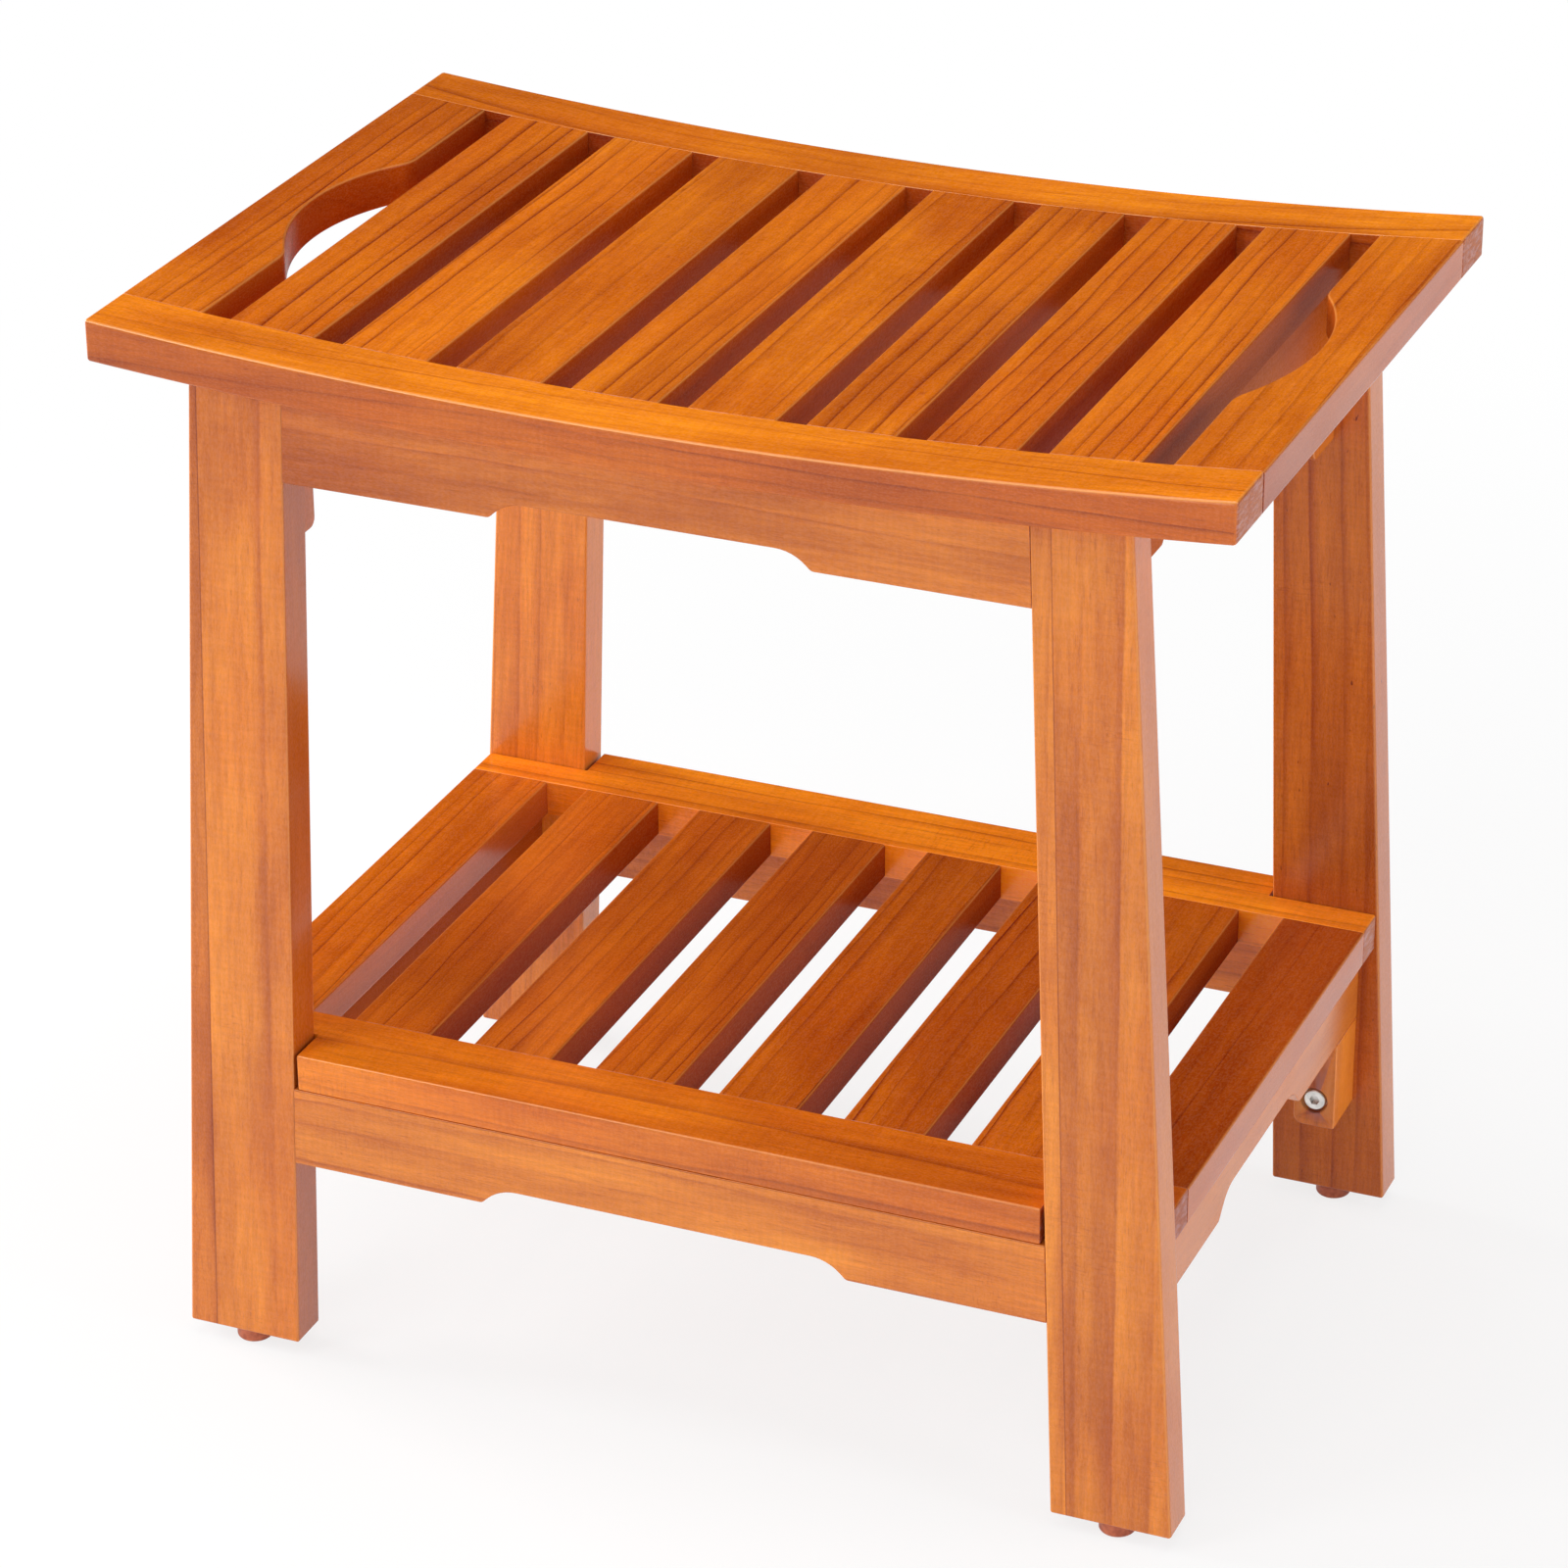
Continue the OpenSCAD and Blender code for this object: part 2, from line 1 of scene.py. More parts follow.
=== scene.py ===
import bpy
import math
import random
import numpy as np
from mathutils import Matrix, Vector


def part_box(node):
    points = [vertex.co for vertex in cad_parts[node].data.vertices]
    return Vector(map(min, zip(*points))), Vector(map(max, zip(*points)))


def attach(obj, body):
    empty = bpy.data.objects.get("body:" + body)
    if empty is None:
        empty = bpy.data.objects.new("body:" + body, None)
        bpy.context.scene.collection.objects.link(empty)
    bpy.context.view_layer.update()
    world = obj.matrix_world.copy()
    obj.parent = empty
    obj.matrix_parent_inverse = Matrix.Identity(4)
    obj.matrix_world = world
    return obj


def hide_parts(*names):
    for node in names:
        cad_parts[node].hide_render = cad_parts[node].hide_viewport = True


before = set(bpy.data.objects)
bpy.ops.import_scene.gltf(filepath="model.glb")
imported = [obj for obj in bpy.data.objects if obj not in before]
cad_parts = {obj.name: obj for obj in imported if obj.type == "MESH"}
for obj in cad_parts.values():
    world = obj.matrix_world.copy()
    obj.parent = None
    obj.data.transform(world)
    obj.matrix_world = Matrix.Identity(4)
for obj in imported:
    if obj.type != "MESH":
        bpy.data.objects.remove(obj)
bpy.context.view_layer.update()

SIDES = (("left", -1), ("right", 1))
ENDS = (("front", -1), ("rear", 1))

# Driving dimensions of the bench, in metres; the rest is read off the frame's boxes
# Seat: how far its middle lies below its ends, and its boards' thickness in the middle and at the ends
SEAT_DIP = 0.0105
SEAT_T = 0.016
SEAT_END_T = 0.017
# Hand hold: depth and radius of the scallop, and the radius where it runs out into the straight edge
HOLD_DEPTH = 0.016
HOLD_R = 0.105
HOLD_EASE_R = 0.016
# Legs: height of both ends, spread over the outer faces and width at both ends
LEG_LIFT = 0.0065
LEG_TOP_Z = 0.434
LEG_FOOT_SPREAD = 0.4296
LEG_TOP_SPREAD = 0.3786
LEG_FOOT_W = 0.050
LEG_TOP_W = 0.0394
# Shelf's rails: depth of the notches for the legs, half length of the tongue between them, and
# how far below the shelf the painted shadow line in its joint with the lower rail lies
SHELF_NOTCH_D = 0.019
SHELF_TONGUE = 0.1586
SHELF_SHADE_LINE = 0.0003
# Arches in the boards' lower edges: half length and rise, then the radii that all of them share
APRON_ARCH = (0.0662, 0.007)
LOWER_ARCH = (0.0795, 0.0076)
UPPER_SIDE_ARCH = (0.085, 0.0065)
LOWER_SIDE_ARCH = (0.053, 0.010)
ARCH_R = 0.018
ARCH_EASE_R = 0.0025
# The lowest part of an arched board under the seat, which doesn't follow the seat's dish
ARCH_FLAT = 0.010
# Corner blocks: their rounded corner, and the bolt's height and sink
BLOCK_CORNER_R = 0.004
BOLT_UP = 0.0123
BOLT_SINK_D = 0.012
BOLT_SINK = 0.0042
# Screws in the aprons and lower rails: places, width of the sink and the wood above it
SCREW_X = (-0.095, 0.0, 0.095)
SCREW_Y = 0.139
SCREW_SINK_D = 0.009
SCREW_WOOD = 0.012
# How far the shape that cuts a sink reaches past the wood, and how many sides it has
SINK_PAST = 0.01
SINK_SIDES = 40

# Rounded edges of the wood: long edges, the seat's outer edges, and edges and ends at a joint
EDGE = 0.0011
SOFT_EDGE = 0.0014
JOINT_EDGE = 0.0004
END_EDGE = 0.0003
# Arched boards' lower edges, legs' outer edges and feet, blocks' free edges and ends, shelf's tongues
RAIL_EDGE = 0.0009
LEG_EDGE = 0.0013
FOOT_EDGE = 0.0010
BLOCK_EDGE = 0.0007
BLOCK_END_EDGE = 0.0006
TONGUE_EDGE = 0.0006
# The least radius that an edge has; points in a rounded edge, in a rounded rim and in an arch's two arcs
SHARP = 0.00005
ROUND_STEPS = 5
RIM_STEPS = 4
ARCH_EASE_STEPS = 4
ARCH_R_STEPS = 7
# Sections nearer to a board's end than this many rims are left out
RIM_CLEAR = 1.05
# Distances between the sections of a board, and within the hand hold
SEAT_RAIL_STEP = 0.012
SEAT_END_STEP = 0.02
HOLD_STEP = 0.0022
SLAT_STEP = 0.03
LEG_STEP = 0.05
ARCH_STEP = 0.02
BLOCK_STEP = 0.01
SHELF_RAIL_STEP = 0.04

seat_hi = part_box("seat_front_rail")[1]
HALF_W = seat_hi.x
SEAT_MID_Z = seat_hi.z - SEAT_DIP
SEAT_IN_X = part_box("seat_right_end")[0].x


def dish(x, middle, dip):
    """Height at x of an arc that is at height middle in the seat's middle and dip higher at its ends."""
    r = (HALF_W ** 2 + dip ** 2) / (2 * dip)
    return middle + r - np.sqrt(r * r - x * x)


def seat_top(x):
    """Height of the seat's top face at x."""
    return dish(x, SEAT_MID_Z, SEAT_DIP)


def seat_under(x):
    """Height of the seat's underside at x."""
    return dish(x, SEAT_MID_Z - SEAT_T, SEAT_DIP + SEAT_T - SEAT_END_T)


def seat_z(x, level):
    """Height in the seat's boards at x: level is 0 at the top face and -SEAT_T at the underside."""
    return seat_top(x) + (seat_under(x) - seat_top(x)) * (-level / SEAT_T)


def leg_outer(z):
    """Distance of a leg's outer face from the bench's middle at height z."""
    share = (z - LEG_LIFT) / (LEG_TOP_Z - LEG_LIFT)
    return (LEG_FOOT_SPREAD + (LEG_TOP_SPREAD - LEG_FOOT_SPREAD) * share) / 2


def leg_inner(z):
    """Distance of a leg's inner face from the bench's middle at height z."""
    share = (z - LEG_LIFT) / (LEG_TOP_Z - LEG_LIFT)
    return leg_outer(z) - LEG_FOOT_W - (LEG_TOP_W - LEG_FOOT_W) * share


def dished(z, x, foot, top):
    """Heights z of a board that reaches from foot to top, moved so that its top fits the seat's underside."""
    share = np.clip((z - foot - ARCH_FLAT) / (top - foot - ARCH_FLAT), 0, 1)
    return z + share * (seat_under(x) - top)


def arch_line(half, foot, rise):
    """Half an arch in a board's lower edge, from its foot inwards: distances from the middle and heights.

    A straight slope at 45 degrees joins its two arcs.
    """
    turn = math.pi / 4
    slant = rise - (1 - math.cos(turn)) * (ARCH_EASE_R + ARCH_R)
    pts = [(half, foot)]
    for t in np.linspace(0, turn, ARCH_EASE_STEPS)[1:]:
        pts.append((half - ARCH_EASE_R * math.sin(t), foot + ARCH_EASE_R * (1 - math.cos(t))))
    x, z = pts[-1]
    pts.append((x - slant, z + slant))
    flat = x - slant - ARCH_R * math.sin(turn)
    for t in np.linspace(turn, 0, ARCH_R_STEPS)[1:]:
        pts.append((flat + ARCH_R * math.sin(t), foot + rise - ARCH_R * (1 - math.cos(t))))
    return pts


def arch_stations(line, end):
    """Stations along a board from -end to end that take in every point of its arch."""
    half = [p[0] for p in line] + list(np.arange(0, line[-1][0], ARCH_STEP))
    half += list(np.arange(line[0][0] + ARCH_STEP / 5, end, ARCH_STEP)) + [end]
    return sorted({round(v, 6) for v in half} | {round(-v, 6) for v in half})


def arch_height(line):
    """The arch's lower edge as a function of the distance from the middle."""
    xs = [p[0] for p in reversed(line)]
    zs = [p[1] for p in reversed(line)]
    return lambda s: float(np.interp(abs(s), xs, zs))


def ring(bounds, radii, inset):
    """A rounded rectangle in the (u, v) plane; radii go round from the corner (high u, high v)."""
    u0, u1, v0, v1 = bounds
    pts = []
    corners = ((u1, v1, -1, -1), (u0, v1, 1, -1), (u0, v0, 1, 1), (u1, v0, -1, 1))
    for quarter, ((cu, cv, su, sv), r) in enumerate(zip(corners, radii)):
        r_in = max(r - inset, SHARP)
        away = max(r, inset + r_in)
        for t in np.linspace(0, math.pi / 2, ROUND_STEPS) + quarter * math.pi / 2:
            pts.append((cu + su * away + r_in * math.cos(t), cv + sv * away + r_in * math.sin(t)))
    return np.array(pts)


def loft(stations, bounds, place, radii, rims):
    """A board's vertices and faces: rounded rectangles at the stations, with rounded rims at both ends."""
    first, last = stations[0], stations[-1]
    loops = []
    for t in np.linspace(0, math.pi / 2, RIM_STEPS):
        loops.append((first + rims[0] * (1 - math.cos(t)), rims[0] * (1 - math.sin(t))))
    loops += [(s, 0.0) for s in stations if first + rims[0] * RIM_CLEAR < s < last - rims[1] * RIM_CLEAR]
    for t in np.linspace(math.pi / 2, 0, RIM_STEPS):
        loops.append((last - rims[1] * (1 - math.cos(t)), rims[1] * (1 - math.sin(t))))
    verts = []
    for s, inset in loops:
        uv = ring(bounds(s), radii, inset)
        verts.append(place(uv[:, 0], uv[:, 1], s))
    count = len(verts[0])
    faces = []
    for k in range(len(loops) - 1):
        a, b = k * count, (k + 1) * count
        faces += [(a + i, a + (i + 1) % count, b + (i + 1) % count, b + i) for i in range(count)]
    top = (len(loops) - 1) * count
    faces.append(tuple(range(count - 1, -1, -1)))
    faces.append(tuple(range(top, top + count)))
    return np.concatenate(verts), faces


def face_vectors(verts, faces):
    """Area vector of each face."""
    out = []
    for f in faces:
        p = verts[list(f)]
        out.append(0.5 * np.cross(p, np.roll(p, -1, axis=0)).sum(axis=0))
    return np.array(out)


def outward(verts, faces):
    """The faces of a closed shape, turned over if they point inwards."""
    centre = verts.mean(axis=0)
    volume = sum(np.dot(v, verts[f[0]] - centre) for v, f in zip(face_vectors(verts, faces), faces))
    return faces if volume >= 0 else [tuple(reversed(f)) for f in faces]


def make_mesh(name, verts, faces):
    """A new mesh of the given vertices and faces."""
    mesh = bpy.data.meshes.new(name)
    mesh.from_pydata([tuple(v) for v in verts], [], faces)
    mesh.update()
    return mesh


def shade(mesh):
    """Smooth shading with normals weighted by area, so that flat faces stay flat up to their edges."""
    verts = np.array([v.co[:] for v in mesh.vertices])
    faces = [tuple(p.vertices) for p in mesh.polygons]
    normals = np.zeros_like(verts)
    for f, vector in zip(faces, face_vectors(verts, faces)):
        normals[list(f)] += vector
    normals /= np.maximum(np.linalg.norm(normals, axis=1, keepdims=True), 1e-12)
    for p in mesh.polygons:
        p.use_smooth = True
    mesh.normals_split_custom_set_from_vertices([tuple(n) for n in normals])


def bore(mesh, axis, centre, d, length):
    """Cuts a round hole, d wide and length long, out of a mesh."""
    steps = SINK_SIDES
    other = [(axis + 1) % 3, (axis + 2) % 3]
    verts = np.zeros((2 * steps, 3))
    for k in range(2 * steps):
        t = 2 * math.pi * (k % steps + 0.5) / steps
        verts[k, axis] = centre[axis] + (0.5 if k >= steps else -0.5) * length
        verts[k, other[0]] = centre[other[0]] + d / 2 * math.cos(t)
        verts[k, other[1]] = centre[other[1]] + d / 2 * math.sin(t)
    faces = [(i, (i + 1) % steps, steps + (i + 1) % steps, steps + i) for i in range(steps)]
    faces += [tuple(range(steps - 1, -1, -1)), tuple(range(steps, 2 * steps))]
    tool = bpy.data.objects.new("bore_tool", make_mesh("bore_tool", verts, outward(verts, faces)))
    work = bpy.data.objects.new("bore_work", mesh)
    for o in (tool, work):
        bpy.context.scene.collection.objects.link(o)
    cut = work.modifiers.new("cut", "BOOLEAN")
    cut.operation = "DIFFERENCE"
    cut.solver = "EXACT"
    cut.object = tool
    bpy.context.view_layer.update()
    result = bpy.data.meshes.new_from_object(work.evaluated_get(bpy.context.evaluated_depsgraph_get()))
    for o in (tool, work):
        data = o.data
        bpy.data.objects.remove(o)
        bpy.data.meshes.remove(data)
    return result


def set_vector(mesh, name, rows):
    """Stores a vector for each vertex, under the name by which the material reads it."""
    data = mesh.attributes.new(name, "FLOAT_VECTOR", "POINT").data
    data.foreach_set("vector", np.asarray(rows, np.float32).ravel())


def turned_by(cosines, gain, cut):
    """How far faces are turned, 0 to 1: cosines times gain, less cut."""
    return np.clip(gain * cosines - cut, 0, 1)


# A face shows end grain if its normal is this close to the board's axis
END_GRAIN = 0.9


class Look:
    """How one board's wood looks: its growth rings, its colour, and the shade and highlights painted on it.
    """

    def __init__(self, step=0.0080, soft=0.3, line=0.6, tone=0.0, red=0.0, flecks=0.25, rift=None, reach=None,
                 side=None, shift=0.0, uneven=2.4, slope=0.0, strip=None, strip_tone=0.0, fade=0.0,
                 face=(0, 0, 0), face_tone=0.0, face_red=0.0, face_dull_shade=0.0, dull_shade=(0, 0, 0), edge_highlight=0.35):
        self.step = step          # distance between growth rings, metres
        self.soft = soft          # share of a ring that its dark latewood takes
        self.line = line          # how dark the latewood is
        self.tone = tone          # lighter or darker than the rest
        self.red = red            # redder than the rest
        self.flecks = flecks      # small dark flecks
        self.rift = rift          # angle of the rings, radians; chosen for each board if it is None
        self.reach = reach        # distance of the pith, metres; chosen for each board if it is None
        self.side = side          # side on which the pith lies, -1 or 1
        self.shift = shift        # shifts the rings by this share of their distance
        self.uneven = uneven      # how unevenly the rings are spaced
        self.slope = slope        # lean of the grain against the board's axis
        self.strip = strip        # distance from a glue line, where the board is glued up of two, or from a painted shadow line
        self.strip_tone = strip_tone    # how much lighter the strip beyond the glue line is
        self.fade = fade          # how much lighter the board gets along its axis
        self.face = face          # direction of a face whose colour and varnish differ, and by how much
        self.face_tone = face_tone
        self.face_red = face_red
        # a duller varnish on that face, which also darkens it with painted shade
        self.face_dull_shade = face_dull_shade
        self.dull_shade = dull_shade          # direction of a face with a duller varnish and painted shade
        self.edge_highlight = edge_highlight        # how strong the painted highlight on the rounded edges is


def dress(mesh, node, axis, wood, look):
    """Gives a board its wood coordinates and attributes, its normals and its place in the scene."""
    rng = random.Random("bench " + node)
    lo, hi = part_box(node)
    across = [i for i in range(3) if i != axis]
    points = np.array([v.co[:] for v in mesh.vertices])
    rift, reach, side = rng.uniform(0.35, 1.0), rng.uniform(0.09, 0.16), rng.choice((-1, 1))
    rift = rift if look.rift is None else look.rift
    reach = reach if look.reach is None else look.reach
    side = side if look.side is None else look.side
    pith = (side * reach * math.cos(rift), -reach * math.sin(rift))
    middle = [(lo[i] + hi[i]) / 2 for i in across]
    along = points[:, axis]
    a = points[:, across[0]] - middle[0] - look.slope * (along - (lo[axis] + hi[axis]) / 2) - pith[0]
    b = points[:, across[1]] - middle[1] - pith[1]
    set_vector(mesh, "grain", np.stack([a, b, along + rng.uniform(0.3, 2.7)], axis=1))
    count = len(points)

    # The same for the whole board: rings per metre, how they are drawn, and the strip's tone
    set_vector(mesh, "rings", np.tile((1 / look.step, look.soft, look.line), (count, 1)))
    set_vector(mesh, "figure", np.tile((look.shift, look.uneven, look.strip_tone), (count, 1)))

    # Colour: tone, redness and flecks
    normals = np.array([v.normal[:] for v in mesh.vertices])
    turned = turned_by(normals @ np.array(look.face), 1.0, 0.0)
    tint = np.zeros((count, 3))
    tint[:, 0] = look.tone + rng.uniform(-0.3, 0.3) + turned * look.face_tone
    tint[:, 0] += look.fade * ((along - lo[axis]) / (hi[axis] - lo[axis]) - 0.5)
    tint[:, 1] = look.red + rng.uniform(-0.2, 0.2) + turned * look.face_red
    tint[:, 2] = look.flecks
    set_vector(mesh, "tint", tint)

    # End grain, distance from a glue line or painted shadow line, and left or right faces, which have a
    # calmer grain
    cut = np.zeros((count, 3))
    for p in mesh.polygons:
        if abs(p.normal[axis]) > END_GRAIN:
            cut[list(p.vertices), 0] = 1.0
    cut[:, 1] = 1.0 if look.strip is None else look.strip(points)
    cut[:, 2] = turned_by(np.abs(normals[:, 0]), 1.6, 0.5)
    set_vector(mesh, "cut", cut)

    # Varnish: how dull it is, which darkens the face with painted shade as well,
    # and the painted highlight on the rounded edges between a side and the top or front
    level = np.hypot(normals[:, 0], normals[:, 1]) if axis < 2 else np.abs(normals[:, 0])
    steep = normals[:, 2] if axis < 2 else np.abs(normals[:, 1])
    varnish_and_painted_light = np.zeros((count, 3))
    dull_shade = turned_by(normals @ np.array(look.dull_shade), 1.6, 0.3)
    varnish_and_painted_light[:, 0] = np.maximum(dull_shade, turned * look.face_dull_shade)
    varnish_and_painted_light[:, 1] = look.edge_highlight * turned_by(np.minimum(level, steep), 3.0, 0.9)
    set_vector(mesh, "varnish_and_painted_light", varnish_and_painted_light)

    shade(mesh)
    mesh.materials.append(woods[wood])
    mesh.name = node + "_wood"
    piece = bpy.data.objects.new(node + "_board", mesh)
    bpy.context.scene.collection.objects.link(piece)
    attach(piece, "bench")
    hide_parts(node)


def board(node, axis, stations, bounds, place, radii, rims, wood, look, bores=()):
    """One board in place of its CAD node, with its grain along an axis and round holes bored into it."""
    verts, faces = loft(stations, bounds, place, radii, rims)
    mesh = make_mesh(node, verts, outward(verts, faces))
    for args in bores:
        mesh = bore(mesh, *args)
    dress(mesh, node, axis, wood, look)


# Materials

class Tree:
    """A material's node tree with short calls for the nodes used here."""

    def __init__(self, name):
        self.material = bpy.data.materials.new(name)
        self.material.use_nodes = True
        self.tree = self.material.node_tree
        self.tree.nodes.clear()

    def node(self, kind, inputs=(), out=0, **props):
        """Adds a node with its settings and inputs, which are values or links, and gives one output."""
        n = self.tree.nodes.new(kind)
        for key, value in props.items():
            setattr(n, key, value)
        for key, value in dict(inputs).items():
            if isinstance(value, bpy.types.NodeSocket):
                self.tree.links.new(value, n.inputs[key])
            else:
                n.inputs[key].default_value = value
        return n.outputs[out]

    def math(self, op, a, b=0.0, c=0.0, clamp=False):
        return self.node("ShaderNodeMath", {0: a, 1: b, 2: c}, operation=op, use_clamp=clamp)

    def vmath(self, op, a, b=(0.0, 0.0, 0.0), c=(0.0, 0.0, 0.0)):
        return self.node("ShaderNodeVectorMath", {0: a, 1: b, 2: c}, operation=op)

    def attribute(self, name, out="Fac"):
        n = self.tree.nodes.new("ShaderNodeAttribute")
        n.attribute_name = name
        n.attribute_type = "GEOMETRY"
        return n.outputs[out]

    def noise(self, vector, scales, detail=2.0, rough=0.5):
        """Noise with a scale of its own along each direction."""
        scaled = self.vmath("MULTIPLY", vector, scales)
        return self.node("ShaderNodeTexNoise", {"Vector": scaled, "Scale": 1.0, "Detail": detail,
                                                "Roughness": rough})

    def split(self, vector):
        n = self.tree.nodes.new("ShaderNodeSeparateXYZ")
        self.tree.links.new(vector, n.inputs[0])
        return n.outputs

    def ramp(self, value, low, high, to_low=0.0, to_high=1.0, smooth=True):
        """Goes from to_low to to_high while value goes from low to high, and no further."""
        return self.node("ShaderNodeMapRange", {0: value, 1: low, 2: high, 3: to_low, 4: to_high},
                         interpolation_type="SMOOTHSTEP" if smooth else "LINEAR")

    def mix(self, factor, a, b, blend="MIX"):
        return self.node("ShaderNodeMix", {0: factor, 6: a, 7: b}, out=2,
                         data_type="RGBA", blend_type=blend)

    def grey(self, value):
        return self.node("ShaderNodeCombineXYZ", {0: value, 1: value, 2: value})

    def shadow(self, value):
        """A factor for wood: under 1 it darkens and reddens, over 1 it lightens towards yellow."""
        green = self.math("POWER", value, 1.35)
        return self.node("ShaderNodeCombineXYZ", {0: self.math("POWER", value, 0.9), 1: green, 2: value})

    def bump(self, height, strength, distance):
        return self.node("ShaderNodeBump", {"Height": height, "Strength": strength, "Distance": distance})

    def finish(self, inputs):
        shader = self.node("ShaderNodeBsdfPrincipled", inputs)
        self.tree.links.new(shader, self.tree.nodes.new("ShaderNodeOutputMaterial").inputs["Surface"])
        return self.material


def rgb(r, g, b):
    """A colour written as it shows on a screen, 0 to 255, in linear light."""
    shares = [c / 255 for c in (r, g, b)]
    return tuple(((c + 0.055) / 1.055) ** 2.4 if c > 0.04045 else c / 12.92 for c in shares) + (1.0,)


# The wood beyond a glue line: how far its pattern is shifted, and half the width of the dark glue line,
# which under the shelf is a painted shadow line in the joint
STRIP_SHIFT = (0.043, 0.019, 1.37)
GLUE_AND_SHADE_LINE = 0.0004
# Where in a growth ring its latewood ends
LATE_END = 0.93
VARNISH_IOR = 1.5
# Colours: what reddens the wood, its darkest value, the painted highlight on its rounded edges,
# and the streaks in end grain
RED = (0.88, 0.70, 0.66, 1.0)
DARKEST = (0.002, 0.002, 0.002, 1.0)
EDGE_HIGHLIGHT = rgb(252, 180, 98)
CHALK = rgb(190, 158, 168)


